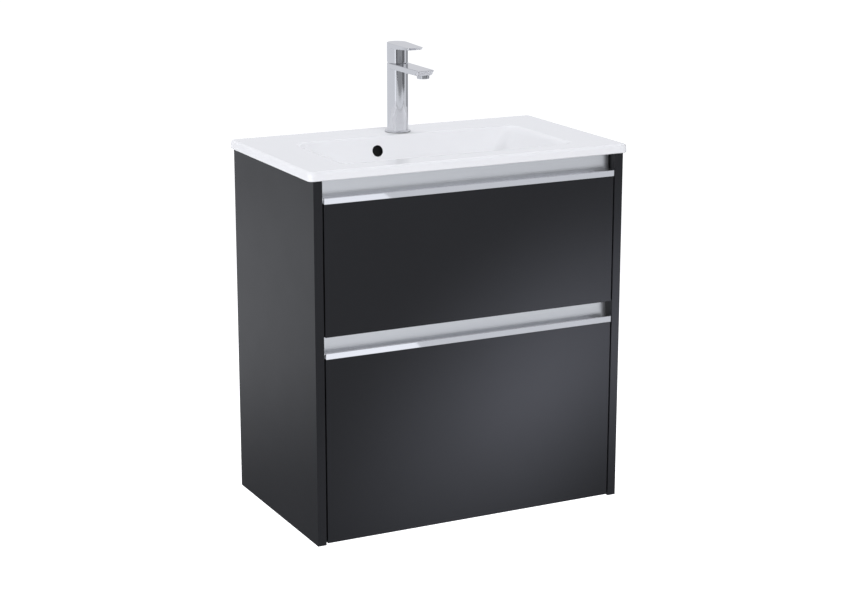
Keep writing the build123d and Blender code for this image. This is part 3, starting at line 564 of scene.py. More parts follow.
@dataclass(frozen=True)
class Basin:
    """The thin-rimmed ceramic basin, with its bowl, drain and overflow.

    One closed sheet runs from the drain up the bowl, over the deck, round the rim and back below.
    Every row of it is a rounded rectangle: four corner centres, and points a corner radius away
    from the straight lines between them.

    Attributes:
        half_width: half the basin's length along the wall.
        front, back: Y of its front and back edge.
        foot, deck: heights of the rim's underside and of the deck.
        corner: radius of the outline's corners.
        rim_round, foot_round: radii of the rim's upper and lower edge.
        near: how close beside a round the flat has a row of its own.
        bowl_half: half the bowl's length.
        bowl_front, bowl_back: Y of the bowl's front and back edge.
        bowl_depth: depth of its floor below the deck.
        bowl_corner, corner_low: radii of its corners at the deck and further down.
        corner_share: share of the depth where the lower radius is reached.
        bowl_wall: thickness of its wall.
        end_inset, front_inset, back_inset: how far the walls close in on the way to the floor.
        gentle_share: share of the insets that follows the gentle power.
        gentle_power, steep_power: powers of the depth's share.
        edge_ease, floor_ease: shares of the depth that go into the rounds above and below.
        under: height of the bowl's underside.
        foot_share, foot_fall: share of the depth where the outside turns in, and its depth there.
        drain, drain_radius: the drain's place in plan, and its radius.
        overflow, overflow_radius: X and Z of the overflow, and its radius.
        overflow_edge, overflow_depth: radius of its rounded edge, and length of its tube.
        overflow_room: half the side of the block that is cut out for it, in radii.
        overflow_reach: how far from the bowl's back edge that block may lie.
        rib_half, rib_back: the duct's half width, and Y of its back.
        rib_front: how far behind the bowl's wall the duct's front lies.
        rib_sink, rib_rise: how far the duct goes below the underside and above the rim's foot.
        side_points, corner_points: points along a side and round a corner.
    """

    half_width: float = 0.3035
    front: float = -0.355
    back: float = 0.0
    foot: float = 0.070
    deck: float = 0.086
    corner: float = 0.010
    rim_round: float = 0.006
    foot_round: float = 0.002
    near: float = 0.0004
    bowl_half: float = 0.216
    bowl_front: float = -0.307
    bowl_back: float = -0.094
    bowl_depth: float = 0.100
    bowl_corner: float = 0.024
    corner_low: float = 0.012
    corner_share: float = 0.5
    bowl_wall: float = 0.009
    end_inset: float = 0.140
    front_inset: float = 0.075
    back_inset: float = 0.040
    gentle_share: float = 0.75
    gentle_power: float = 1.2
    steep_power: float = 6.0
    edge_ease: float = 0.09
    floor_ease: float = 0.07
    under: float = -0.038
    foot_share: float = 0.85
    foot_fall: float = 0.085
    drain: Pair = (0.0, -0.183)
    drain_radius: float = 0.0225
    overflow: Pair = (-0.060, 0.061)
    overflow_radius: float = 0.010
    overflow_edge: float = 0.0012
    overflow_depth: float = 0.0068
    overflow_room: float = 1.55
    overflow_reach: float = 0.02
    rib_half: float = 0.016
    rib_back: float = -0.066
    rib_front: float = 0.0096
    rib_sink: float = 0.0003
    rib_rise: float = 0.002
    side_points: int = 44
    corner_points: int = 14

    def outline(self, half: Array, low: Array, high: Array, corner: Array) -> Array:
        """Rounded rectangles, one to a row.

        A point is a blend of two corner centres plus the corner radius times the outward
        direction: on a corner the blend stays on one centre, along a side the direction stays.

        Args:
            half: half lengths.
            low: front limits.
            high: back limits.
            corner: corner radii.

        Returns:
            Plan points by row and place, from the front's left end anticlockwise.
        """
        reach = half - corner
        near, far = low + corner, high - corner
        centres = np.stack(
            [
                np.stack([-reach, near], -1),
                np.stack([reach, near], -1),
                np.stack([reach, far], -1),
                np.stack([-reach, far], -1),
            ],
            axis=1,
        )
        along = np.linspace(0.0, 1.0, self.side_points, endpoint=False)
        bend = np.radians(np.linspace(0.0, 90.0, self.corner_points, endpoint=False))
        share = np.tile(np.concatenate([along, np.zeros(self.corner_points)]), 4)
        turn = np.concatenate([np.zeros(self.side_points), bend])
        angle = (np.radians(-90.0 + 90.0 * np.arange(4))[:, None] + turn[None]).ravel()
        start, stop = np.arange(4), (np.arange(4) + 1) % 4
        counts = np.tile([self.side_points, self.corner_points], 4)
        first = np.repeat(np.stack([start, stop], -1).ravel(), counts)
        second = np.repeat(stop, self.side_points + self.corner_points)
        way = np.stack([np.cos(angle), np.sin(angle)], axis=-1)
        middle = (1 - share)[None, :, None] * centres[:, first] + share[None, :, None] * centres[:, second]
        return middle + corner[:, None, None] * way[None]

    def sweep(self, share: Array) -> Array:
        """How far the wall has closed in at a share of the depth.

        Below the edge it is a gentle and a steep power of the share, and above that a straight
        line in the same direction.

        Args:
            share: shares of the depth, below zero outside the edge.

        Returns:
            Shares of the insets.
        """
        edge = self.edge_ease
        held = np.maximum(share, edge)
        gentle = self.gentle_share * held**self.gentle_power
        closed = gentle + (1 - self.gentle_share) * held**self.steep_power
        slope = self.gentle_share * self.gentle_power * edge ** (self.gentle_power - 1)
        return closed + slope * np.minimum(share - edge, 0.0)

    def sunk(self, share: Array) -> Array:
        """How deep the wall has come at a share: level at the deck and the floor, eased between.

        Args:
            share: shares of the depth, from before the edge to beyond the floor.

        Returns:
            Eased shares, by parabolas at both ends and the share itself between.
        """
        edge, floor = self.edge_ease, self.floor_ease
        start = (share + edge) ** 2 / (4 * edge)
        stop = 1 - (1 + floor - share) ** 2 / (4 * floor)
        return np.where(share < edge, start, np.where(share > 1 - floor, stop, share))

    def bowl(self, share: Array, grow: Array | float = 0.0) -> Array:
        """The bowl's outlines at shares of its depth.

        Args:
            share: shares of the depth.
            grow: how far outside the inner wall.

        Returns:
            Plan points by row and place.
        """
        share = np.asarray(share, float)
        closed = self.sweep(share)
        grow = np.broadcast_to(np.asarray(grow, float), share.shape)
        corner = np.interp(share, [0.0, self.corner_share], [self.bowl_corner, self.corner_low])
        return self.outline(
            self.bowl_half - self.end_inset * closed + grow,
            self.bowl_front + self.front_inset * closed - grow,
            self.bowl_back - self.back_inset * closed + grow,
            corner + grow,
        )

    def rim(self, offset: Array) -> Array:
        """The basin's outline, moved by offsets.

        Args:
            offset: how far outwards, one to a row.

        Returns:
            Plan points by row and place.
        """
        offset = np.asarray(offset, float)
        one = np.ones_like(offset)
        return self.outline(
            self.half_width * one + offset,
            self.front * one - offset,
            self.back * one + offset,
            self.corner + offset,
        )

    def wall_rows(self) -> Array:
        """The bowl's wall from the floor up to the deck, eased into both.

        Returns:
            Points by row, place and coordinate.
        """
        wall = np.linspace(1 + self.floor_ease, self.edge_ease, 50)
        edge = np.linspace(self.edge_ease, -self.edge_ease, 15)
        share = np.concatenate([wall, edge[1:]])
        return level(self.bowl(share), (self.deck - self.bowl_depth * self.sunk(share))[:, None])

    def rim_rows(self) -> Array:
        """The rim from the deck's edge, round and down its side, and round below it.

        Both rounds are quarter circles: offset and height follow sine and cosine of one angle.

        Returns:
            Points by row, place and coordinate.
        """
        over = np.radians(np.linspace(0.0, 90.0, 11))
        below = np.radians(np.linspace(0.0, 90.0, 7))
        offset = np.concatenate(
            [
                [-self.rim_round - self.near],
                self.rim_round * (np.sin(over) - 1),
                [0.0, 0.0],
                self.foot_round * (np.cos(below) - 1),
                [-self.foot_round - self.near],
            ]
        )
        height = np.concatenate(
            [
                [self.deck],
                self.deck - self.rim_round * (1 - np.cos(over)),
                [self.deck - self.rim_round - self.near, self.foot + self.foot_round + self.near],
                self.foot + self.foot_round * (1 - np.sin(below)),
                [self.foot],
            ]
        )
        return level(self.rim(offset), height[:, None])

    def under_rows(self) -> Array:
        """The outside of the bowl, from below the rim down to its flat foot.

        Returns:
            Points by row, place and coordinate.
        """
        rim_share = (self.deck - self.foot) / self.bowl_depth
        share = np.linspace(rim_share, 1.0, 24)
        heights = [self.foot, self.deck - self.foot_fall, self.under]
        fall = np.interp(share, [rim_share, self.foot_share, 1.0], heights)
        return level(self.bowl(share, self.bowl_wall), fall[:, None])

    def drain_ring(self, around: Array, height: float) -> Array:
        """A circle around the drain, with each point in the direction of an outline's point.

        Args:
            around: the outline's points.
            height: the circle's height.

        Returns:
            Points of the circle, as many as the outline has.
        """
        way = around[:, :2] - np.asarray(self.drain)
        way = way / np.linalg.norm(way, axis=-1, keepdims=True)
        return level(np.asarray(self.drain) + self.drain_radius * way, height)

    def overflow_mouth(self, shell: Shell, sheet: Array, keep: Array) -> None:
        """Opens the overflow in the bowl's back wall.

        There the wall's Y depends on its height alone, so rings are blended in X and Z from the
        edge of the cut block to a circle, and put on the wall by its own formula. The circle's
        edge is rounded, and a tube runs back from it to its end. Tube and end are painted
        near-black: painted shade for the dark inside of the hole.

        Args:
            shell: the basin's mesh.
            sheet: the rows of the bowl's wall, by row and place.
            keep: their faces, where the block is taken out.
        """
        x, z = self.overflow
        room = self.overflow_room * self.overflow_radius
        inside = (np.abs(sheet[..., 0] - x) < room) & (np.abs(sheet[..., 2] - z) < room)
        inside &= np.abs(sheet[..., 1] - self.bowl_back) < self.overflow_reach
        rows, columns = np.nonzero(inside)
        top, last, left, right = rows.min(), rows.max(), columns.min(), columns.max()
        keep[top:last, left:right] = False
        loop = np.concatenate(
            [
                sheet[top, left:right],
                sheet[top:last, right],
                sheet[last, right:left:-1],
                sheet[last:top:-1, left],
            ]
        )
        way = loop[:, [0, 2]] - (x, z)
        angle = np.arctan2(way[:, 1], way[:, 0])
        circle = np.stack([np.cos(angle), np.sin(angle)], -1)
        wide = np.asarray(self.overflow) + (self.overflow_radius + self.overflow_edge) * circle
        flat = blend(loop[:, [0, 2]], wide, 6)

        def on_wall(plan: Array) -> Array:
            """The wall's Y at given heights."""
            return self.back_wall((self.deck - plan[..., 1]) / self.bowl_depth)

        ring = np.stack([flat[..., 0], on_wall(flat), flat[..., 1]], -1)
        ring[0] = loop
        shell.grid(ring, round_u=True)
        bend = np.radians(np.linspace(0.0, 90.0, 5))
        radius = self.overflow_radius + self.overflow_edge * (1 - np.sin(bend))
        plan = np.asarray(self.overflow) + radius[:, None, None] * circle[None]
        depth = on_wall(plan[:1]) + (self.overflow_edge * (1 - np.cos(bend)))[:, None]
        lip = np.stack([plan[..., 0], depth, plan[..., 1]], -1)
        shell.grid(lip, round_u=True)
        end = lip[-1] + (0.0, self.overflow_depth, 0.0)
        # Look 1 paints the tube and its end near-black: painted shade for the hole's dark inside.
        shell.grid(blend(lip[-1], end, 6), round_u=True, look=1)
        centre = np.broadcast_to(end.mean(0), end.shape)
        shell.grid(blend(end, centre, 3), round_u=True, look=1)

    def back_wall(self, share: Array) -> Array:
        """The bowl's back wall: its Y at shares of the depth."""
        return self.bowl_back - self.back_inset * self.sweep(share)

    def duct_rib(self, shell: Shell) -> None:
        """The block behind the bowl that holds the overflow's duct.

        A loop of four corners is carried upwards: its front edge stays inside the bowl's wall and
        its back edge is upright.

        Args:
            shell: the basin's mesh.
        """
        z = np.linspace(self.under - self.rib_sink, self.foot + self.rib_rise, 24)
        front = self.back_wall(np.minimum((self.deck - z) / self.bowl_depth, 1.0)) + self.rib_front
        left, right = self.overflow[0] - self.rib_half, self.overflow[0] + self.rib_half
        back = np.full_like(z, self.rib_back)
        loop = np.stack(
            [
                np.stack([np.full_like(z, left), front, z], -1),
                np.stack([np.full_like(z, right), front, z], -1),
                np.stack([np.full_like(z, right), back, z], -1),
                np.stack([np.full_like(z, left), back, z], -1),
            ],
            axis=1,
        )
        shell.grid(loop, round_u=True)
        for row in (loop[0], loop[-1]):
            shell.grid(row[[0, 1, 3, 2]].reshape(2, 2, 3))

    def build(self) -> None:
        """Makes the basin's mesh and stands it in for its solid."""
        wall, rim, under = self.wall_rows(), self.rim_rows(), self.under_rows()
        floor = self.deck - self.bowl_depth
        mouth, outlet = self.drain_ring(wall[0], floor), self.drain_ring(under[-1], self.under)
        floor_rows = blend(mouth, wall[0], 9)[:-1]
        sheet = np.concatenate(
            [
                floor_rows,
                wall,
                blend(wall[-1], rim[0], 12)[1:-1],
                rim,
                blend(rim[-1], under[0], 9)[1:-1],
                under,
                blend(under[-1], outlet, 7)[1:],
            ]
        )
        shell = Shell()
        keep = np.ones(sheet.shape[:2], bool)
        first = floor_rows.shape[0]
        inner = slice(first, first + wall.shape[0])
        self.overflow_mouth(shell, sheet[inner], keep[inner])
        shell.grid(sheet, round_u=True, round_v=True, keep=keep)
        self.duct_rib(shell)
        shell.piece("ceramic_basin", [GLAZE, PAINTED_SHADE], "cabinet", "ceramic", "basin")


@dataclass(frozen=True)
class Nose:
    """The front end of a flat blade, in plan.

    Attributes:
        reach: how far it lies in front of the column's axis.
        half: half its width.
        corner: radius of its two corners.
    """

    reach: float
    half: float
    corner: float


@dataclass(frozen=True)
class Tap:
    """The tap's visible metal: column with spout, and the lever with its cap.

    Attributes:
        axis, radius: the column's place in plan, and its radius.
        deck: the height that it stands on.
        foot_radius, foot: radius and height of its flange.
        foot_fillet: radius between flange and column.
        seal: height of the seal below the flange.
        plain_from: how far above the deck the plain column starts.
        seam: height of the spout's top, below the lever's cap.
        spout_thickness: the spout's thickness.
        spout_top, spout_foot: its nose above and below.
        spout_round: radius of its edges.
        spout_slack: how far it lies inside the column's outline.
        column_overlap: how far the column runs up into the spout.
        neck_radius, neck_height, neck_bore: the neck's radius, height over the seam and bore.
        neck_sink, bore_sink: how far the neck and its bore start below the seam.
        neck_chamfer: the neck's broken edge.
        lever_foot, lever_base, lever_top: heights of the cap's edge, the lever's foot and its top.
        lever_nose, lever_below: the lever's nose above and below.
        lever_round: radius of its edges.
        tip_fall, tip_thickness: how far its top falls to the tip, and the tip's thickness.
        cap_wall, cap_chamfer: the cap's wall, and the broken edge below it.
        cap_overlap, cap_ring: where the cap has rings above and below the lever's foot.
        ceiling_gap: how far the cap's ceiling lies below the lever's foot.
        lift: the angle in degrees by which the cap's edge rises behind the axis.
        boss_radius, boss_drop: radius and length of the boss below the ceiling.
        boss_bore, bore_top: radius of its bore, and how far that ends below the lever's foot.
        near: how close beside a round the flat has a row of its own.
    """

    axis: Pair = (0.0, -0.057)
    radius: float = 0.019
    deck: float = 0.086
    foot_radius: float = 0.0235
    foot: float = 0.0025
    foot_fillet: float = 0.001
    seal: float = 0.0007
    plain_from: float = 0.01
    seam: float = 0.210
    spout_thickness: float = 0.0095
    spout_top: Nose = Nose(0.117, 0.0165, 0.0045)
    spout_foot: Nose = Nose(0.1138, 0.0163, 0.0125)
    spout_round: float = 0.0012
    spout_slack: float = 0.00002
    column_overlap: float = 0.004
    neck_radius: float = 0.0155
    neck_height: float = 0.005
    neck_bore: float = 0.0126
    neck_sink: float = 0.001
    neck_chamfer: float = 0.0004
    bore_sink: float = 0.0005
    lever_foot: float = 0.2106
    lever_base: float = 0.237
    lever_top: float = 0.247
    lever_nose: Nose = Nose(0.0764, 0.0153, 0.006)
    lever_below: Nose = Nose(0.0734, 0.0148, 0.009)
    lever_round: float = 0.001
    tip_fall: float = 0.002
    tip_thickness: float = 0.004
    cap_wall: float = 0.002
    cap_overlap: float = 0.002
    cap_ring: float = 0.004
    cap_chamfer: float = 0.0003
    ceiling_gap: float = 0.0002
    lift: float = 21.0
    boss_radius: float = 0.008
    boss_drop: float = 0.011
    boss_bore: float = 0.0043
    bore_top: float = 0.0018
    near: float = 0.0003

    def plan(self, nose: Nose, inset: Array) -> Array:
        """Outlines around the column's circle and the two corner circles of a blade's nose.

        A point lies on one of the circles, in the outward direction that it faces, and the
        straight sides are filled in between. An inset takes the same from every radius.

        Args:
            nose: the blade's front end.
            inset: how far inside the outline, one to a row.

        Returns:
            Plan points by row and place, the same on both sides of the middle.
        """
        corner = nose.corner
        dx, dy = nose.half - corner, -(nose.reach - corner)
        slope = math.asin((self.radius - corner) / math.hypot(dx, dy))
        turn = math.atan2(dy, dx) + math.pi / 2 - slope
        back = np.linspace(math.pi / 2, turn, 40)
        front = np.linspace(turn, -math.pi / 2, 14)
        share = np.linspace(0.0, 1.0, 16)[1:-1]
        centre = np.concatenate(
            [
                np.zeros((back.size, 2)),
                share[:, None] * (dx, dy),
                np.broadcast_to(np.array([dx, dy]), (front.size, 2)),
                np.array([[0.0, dy]]),
            ]
        )
        size = np.concatenate(
            [
                np.full(back.size, self.radius),
                self.radius + share * (corner - self.radius),
                np.full(front.size + 1, corner),
            ]
        )
        angle = np.concatenate([back, np.full(share.size, turn), front, [-math.pi / 2]])
        way = np.stack([np.cos(angle), np.sin(angle)], -1)
        half = centre[None] + (size[None] - np.asarray(inset)[:, None])[..., None] * way[None]
        half[:, [0, -1], 0] = 0.0
        other = half[:, -2:0:-1] * (-1.0, 1.0)
        return np.concatenate([half, other], axis=1) + np.asarray(self.axis)

    def blade(self, foot: Nose, top: Nose, inset: Array, share: Array) -> tuple[Array, Array]:
        """A stack of outlines, closed below and above with flat strips to the middle line.

        Each row goes from the foot's outline to the top's by its share of the height.

        Args:
            foot: the front end below.
            top: the front end above.
            inset: each row's inset.
            share: each row's share of the height.

        Returns:
            Plan points, and their shares of the height.
        """
        under, over = self.plan(foot, inset), self.plan(top, inset)
        outline = under + share[:, None, None] * (over - under)
        low, high = outline[0], outline[-1]
        below = blend(low * (0.0, 1.0), low, 7)[:-1]
        above = blend(high, high * (0.0, 1.0), 7)[1:]
        ends = np.zeros(below.shape[0]), np.ones(above.shape[0])
        return np.concatenate([below, outline, above]), np.concatenate([ends[0], share, ends[1]])

    def rounded(self, thickness: float, radius: float) -> tuple[Array, Array]:
        """Insets and shares of the height of an edge that is rounded below and above.

        Args:
            thickness: the blade's thickness.
            radius: radius of the rounds.

        Returns:
            Insets and shares, from below to above, with a row close beside each round.
        """
        bend = np.radians(np.linspace(0.0, 90.0, 8))
        inset = np.concatenate([[radius + self.near], radius * (1 - np.sin(bend)), [0.0]])
        rise = np.concatenate([[0.0], radius * (1 - np.cos(bend)), [radius + self.near]]) / thickness
        return np.concatenate([inset, inset[::-1]]), np.concatenate([rise, 1 - rise[::-1]])

    def build_body(self) -> None:
        """Column, spout and neck: two turned profiles and a flat blade."""
        shell = Shell()
        low = self.seam - self.spout_thickness
        edge, fillet = self.foot / 2, self.foot_fillet
        seal_radius = self.foot_radius - self.seal / 2
        end = low + self.column_overlap
        plain = np.linspace(self.deck + self.plain_from, end, 12)
        column = np.concatenate(
            [
                [(0.0, self.deck), (seal_radius, self.deck), (seal_radius, self.deck + self.seal)],
                [(self.foot_radius, self.deck + self.seal)],
                arc((self.foot_radius - edge, self.deck + edge), edge, 0.0, 90.0, 7),
                arc((self.radius + fillet, self.deck + self.foot + fillet), fillet, 270.0, 180.0, 7),
                np.stack([np.full_like(plain, self.radius), plain], -1),
                [(0.0, end)],
            ]
        )
        dark = (np.arange(len(column) - 1) < 2).astype(int)
        shell.grid(turned(column, self.axis, 128), round_u=True, look=dark[:, None])
        inset, share = self.rounded(self.spout_thickness, self.spout_round)
        plan, rise = self.blade(self.spout_foot, self.spout_top, inset + self.spout_slack, share)
        shell.grid(level(plan, (low + self.spout_thickness * rise)[:, None]), round_u=True)
        top = self.seam + self.neck_height
        neck = np.array(
            [
                (0.0, self.seam - self.neck_sink),
                (self.neck_radius, self.seam - self.neck_sink),
                (self.neck_radius, top - self.neck_chamfer),
                (self.neck_radius - self.neck_chamfer, top),
                (self.neck_bore, top),
                (self.neck_bore, self.seam - self.bore_sink),
                (0.0, self.seam - self.bore_sink),
            ]
        )
        shell.grid(turned(neck, self.axis, 96), round_u=True)
        shell.piece("tap_column_and_spout", [CHROME, RUBBER], "cabinet", "chrome", "tap_body")

    def build_lever(self) -> None:
        """Lever and cap: a blade whose faces fall to its tip, and a turned cup below it.

        The blade's top falls straight from back to tip, its foot rises straight from the column's
        front to the tip. The cup's lower edge rises behind the axis, where the lever dips.
        """
        shell = Shell()
        thickness = self.lever_top - self.lever_base
        inset, share = self.rounded(thickness, self.lever_round)
        plan, rise = self.blade(self.lever_below, self.lever_nose, inset, share)
        ahead = self.axis[1] - plan[..., 1]
        reach = self.lever_nose.reach
        run = reach + self.radius
        top = self.lever_top - self.tip_fall * (ahead + self.radius) / run
        tip = self.lever_top - self.tip_fall - self.tip_thickness
        lift = np.clip((ahead - self.radius) / (reach - self.radius), 0.0, 1.0)
        foot = self.lever_base + (tip - self.lever_base) * lift
        shell.grid(level(plan, foot + (top - foot) * rise[:, None]), round_u=True)
        inner = self.radius - self.cap_wall
        ceiling = self.lever_base - self.ceiling_gap
        boss = ceiling - self.boss_drop
        bore_top = self.lever_base - self.bore_top
        cup = np.array(
            [
                (self.radius, self.lever_base + self.cap_overlap),
                (self.radius, self.lever_base - self.cap_ring),
                (self.radius, self.lever_foot + self.cap_chamfer),
                (self.radius - self.cap_chamfer, self.lever_foot),
                (inner, self.lever_foot),
                (inner, ceiling),
                (self.boss_radius, ceiling),
                (self.boss_radius, boss),
                (self.boss_bore, boss),
                (self.boss_bore, bore_top),
                (0.0, bore_top),
            ]
        )
        sheet = turned(cup, self.axis, 128)
        behind = np.maximum(sheet[..., 1] - self.axis[1], 0.0) * math.tan(math.radians(self.lift))
        edge = (cup[:, 1] < self.lever_foot + 2 * self.cap_chamfer)[:, None]
        sheet[..., 2] += np.where(edge, behind, 0.0)
        shell.grid(sheet, round_u=True)
        shell.piece("tap_lever_and_cap", [CHROME], "tap_handle", "chrome", "tap_lever")

    def build(self) -> None:
        """Makes both of the tap's pieces."""
        self.build_body()
        self.build_lever()


@dataclass(frozen=True)
class HandleProfile:
    """An aluminium channel along the top of a drawer front: lip, floor, cove and back wall.

    The section is a strip with an outer and an inner side of as many points each, carried along X.

    Attributes:
        drawer: which drawer it belongs to.
        seat: height of the drawer front's top edge.
        top: height of the back wall's top edge.
        half_length: half its length.
        front: Y of the lip's face.
        lip_thickness, lip_height: the lip's thickness, and its height above the seat.
        lip_round, lip_points: radius of the lip's tip, and points on each side of it.
        near: how close beside a round the flat has a row of its own.
        chamfer: the broken edge at the lip's foot.
        wall: thickness of floor, back wall and leg.
        back: Y of the back wall's face.
        sweep, sweep_turn: radius of the back wall's long arc, and the degrees that it turns.
        sweep_rise: height of that arc's end above the seat.
        leg_front, leg: Y of the leg's face, and how far the leg goes below the seat.
        leg_overlap: how far it reaches up into the channel's floor.
    """

    drawer: str
    seat: float
    top: float
    half_length: float = 0.2765
    front: float = -0.353
    lip_thickness: float = 0.0024
    lip_height: float = 0.0107
    lip_round: float = 0.0007
    lip_points: int = 6
    near: float = 0.0002
    chamfer: float = 0.0003
    wall: float = 0.0018
    back: float = -0.333
    sweep: float = 0.086
    sweep_rise: float = 0.020
    sweep_turn: float = 9.0
    leg_front: float = -0.336
    leg: float = 0.028
    leg_overlap: float = 0.0025

    def side(self, lip: float, way: float, floor: float, thickness: float) -> Array:
        """One side of the strip, from the lip's tip down, along the floor and up the back wall.

        The tip's round is a quarter circle. Behind the floor a small arc, the cove, goes over into
        the long arc of the back wall, and both have the same direction where they meet.

        Args:
            lip: the lip's Y on this side.
            way: one where the round leans backwards, minus one where it leans forwards.
            floor: the floor's height on this side.
            thickness: how far this side lies outside the inner one.

        Returns:
            Points with Y and Z.
        """
        bend = np.radians(np.linspace(0.0, 90.0, self.lip_points))
        lean = np.append(self.lip_round * (1 - np.sin(bend)), 0.0)
        fall = np.append(self.lip_round * (1 - np.cos(bend)), self.lip_round + self.near)
        turn, stop = math.radians(self.sweep_turn), 360.0 - self.sweep_turn
        inside = self.seat + self.wall
        sweep_y, sweep_z = self.back - self.sweep, self.seat + self.sweep_rise
        cove = (sweep_z - self.sweep * math.sin(turn) - inside) / (1 - math.sin(turn))
        cove_y, cove_z = sweep_y + (self.sweep - cove) * math.cos(turn), inside + cove
        return np.concatenate(
            [
                np.stack([lip + way * lean, self.seat + self.lip_height - fall], -1),
                [(lip, floor + 2 * self.chamfer), (lip, floor + self.chamfer)],
                [(lip + self.chamfer, floor), (cove_y, floor)],
                arc((cove_y, cove_z), cove + thickness, 270.0, stop, 15)[1:],
                arc((sweep_y, sweep_z), self.sweep + thickness, stop, 360.0, 15)[1:],
                [(self.back + thickness, self.top)],
            ]
        )

    def carried(self, loop: Array, columns: int) -> Array:
        """Carries a section along the channel's length, in even steps of X.

        Args:
            loop: the section's points with Y and Z.
            columns: how many places along X.

        Returns:
            Points by section point, place and coordinate.
        """
        x = np.linspace(-self.half_length, self.half_length, columns)
        spread = np.broadcast_to(x[None, :, None], (len(loop), columns, 1))
        return np.concatenate([spread, np.broadcast_to(loop[:, None], (len(loop), columns, 2))], -1)

    def closed(self, shell: Shell, strip: Array, look: int | Array = 0) -> None:
        """Closes both ends of a carried section.

        Args:
            shell: the channel's mesh.
            strip: the section's two sides, by side, point and coordinate.
            look: the finish number, or one for each face.
        """
        for x in (-self.half_length, self.half_length):
            end = np.concatenate([np.full((*strip.shape[:2], 1), x), strip], -1)
            shell.grid(end, look=look)

    def build(self) -> None:
        """Makes the channel with its leg behind the drawer front."""
        shell = Shell()
        outer = self.side(self.front, 1.0, self.seat, self.wall)
        inner = self.side(self.front + self.lip_thickness, -1.0, self.seat + self.wall, 0.0)
        lip = np.arange(len(outer)) < self.lip_points + 2
        lips = np.concatenate([lip, lip[::-1]])
        bright = (lips & np.roll(lips, -1)).astype(int)
        loop = np.concatenate([outer, inner[::-1]])
        shell.grid(self.carried(loop, 25), round_v=True, look=bright[:, None])
        self.closed(shell, np.stack([outer, inner]), (lip[:-1] & lip[1:]).astype(int)[None])
        low, high = self.seat - self.leg, self.seat + self.leg_overlap
        front, back = self.leg_front, self.leg_front + self.wall
        legs = np.array([(front, low), (front, high), (back, high), (back, low)])
        shell.grid(self.carried(legs, 2), round_v=True)
        self.closed(shell, legs[[0, 1, 3, 2]].reshape(2, 2, 2))
        shell.piece(
            f"{self.drawer}_channel",
            [CHANNEL, LIP],
            f"{self.drawer}_drawer",
            "profile",
            f"{self.drawer}_handle_profile",
        )


@dataclass(frozen=True)
class Cabinet:
    """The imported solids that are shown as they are, each in its slot's finish."""

    slots: dict[str, Finish] = field(default_factory=lambda: SLOT_FINISH)

    def dress(self) -> None:
        """Gives every solid the finish of its slot in the record."""
        for part in frame["record"]["subparts"]:
            node = frame["nodes"][part["node"]]
            node.data.materials.clear()
            node.data.materials.append(self.slots[part["material_slot"]].material())
            log.info("%s: %s", part["node"], part["material_slot"])


# The cards' tint, the tint of lamps and world, and the world's brightness.
COOL = (0.93, 0.95, 1.0, 1.0)
DAYLIGHT = (0.944, 0.954, 1.0)
BACKDROP = 0.828


@dataclass(frozen=True)
class Lamp:
    """A soft lamp: a rectangle, or a round one with a cone.

    Attributes:
        name: the lamp's name.
        place: where it hangs.
        aim: what it points at.
        size: its width and height.
        power: watts.
        cone: the whole angle of its cone in degrees, or none for a rectangle.
    """

    name: str
    place: Point
    aim: Point
    size: Pair
    power: float
    cone: float | None = None

    def build(self) -> None:
        """Hangs the lamp, where mirrors don't see it."""
        if self.cone is None:
            light = bpy.data.lights.new(self.name, "AREA")
            light.shape = "RECTANGLE"
            light.size, light.size_y = self.size
        else:
            light = bpy.data.lights.new(self.name, "SPOT")
            light.shadow_soft_size = self.size[0] / 2
            light.spot_size = math.radians(self.cone)
            light.spot_blend = 1.0
        light.energy = self.power
        light.color = DAYLIGHT
        lamp = bpy.data.objects.new(self.name, light)
        bpy.context.scene.collection.objects.link(lamp)
        way = np.asarray(self.aim) - np.asarray(self.place)
        lamp.location = self.place
        flat = math.hypot(way[0], way[1])
        lamp.rotation_euler = (math.atan2(flat, -way[2]), 0.0, math.atan2(way[1], way[0]) - math.pi / 2)
        lamp.visible_camera = False
        lamp.visible_glossy = False


@dataclass(frozen=True)
class Card:
    """A flat studio card that only mirrors see: a pale one shines in them, a dark one shades.

    Attributes:
        name: the card's name.
        corners: its corners in order.
        glow: how bright it looks.
    """

    name: str
    corners: Corners
    glow: float

    def build(self) -> None:
        """Stands the card up."""
        mesh = bpy.data.meshes.new(self.name)
        mesh.from_pydata(np.asarray(self.corners).tolist(), [], [[0, 1, 2, 3]])
        material = bpy.data.materials.new(self.name)
        material.use_nodes = True
        bench = Bench(material.node_tree)
        light = bench.add("ShaderNodeEmission", {"Color": COOL, "Strength": self.glow})
        bench.add("ShaderNodeOutputMaterial", {"Surface": light.outputs[0]})
        mesh.materials.append(material)
        card = bpy.data.objects.new(self.name, mesh)
        bpy.context.scene.collection.objects.link(card)
        card.visible_camera = False
        card.visible_diffuse = False
        card.visible_shadow = False
        card.visible_transmission = False


# How far from the wall the flags and the lips' cards stand, and the ends of the latter.
FLAG_Y = -2.06
LIP_CARD_Y = -1.55
LIP_CARD_X = (-0.05, 1.06)


def upright(y: float, *corners: Pair) -> Corners:
    """Corners given by X and Z, all at one distance from the wall."""
    return tuple((x, y, z) for x, z in corners)


def lip_cards(lip: str, heights: Pair, split: Pair, glow: Pair) -> tuple[Card, Card]:
    """Two cards side by side that a bright lip mirrors, in its left and in its right part.

    Args:
        lip: which lip they are for.
        heights: their lower and upper edge.
        split: the X where they meet, at the lower and at the upper edge.
        glow: how bright the left one and the right one look.

    Returns:
        The left card and the right one.
    """
    (low, high), (foot, head), (left, right) = heights, split, LIP_CARD_X
    bright = upright(LIP_CARD_Y, (left, low), (foot, low), (head, high), (left, high))
    fill = upright(LIP_CARD_Y, (foot, low), (right, low), (right, high), (head, high))
    return Card(f"{lip}_lip_card", bright, glow[0]), Card(f"{lip}_lip_fill", fill, glow[1])


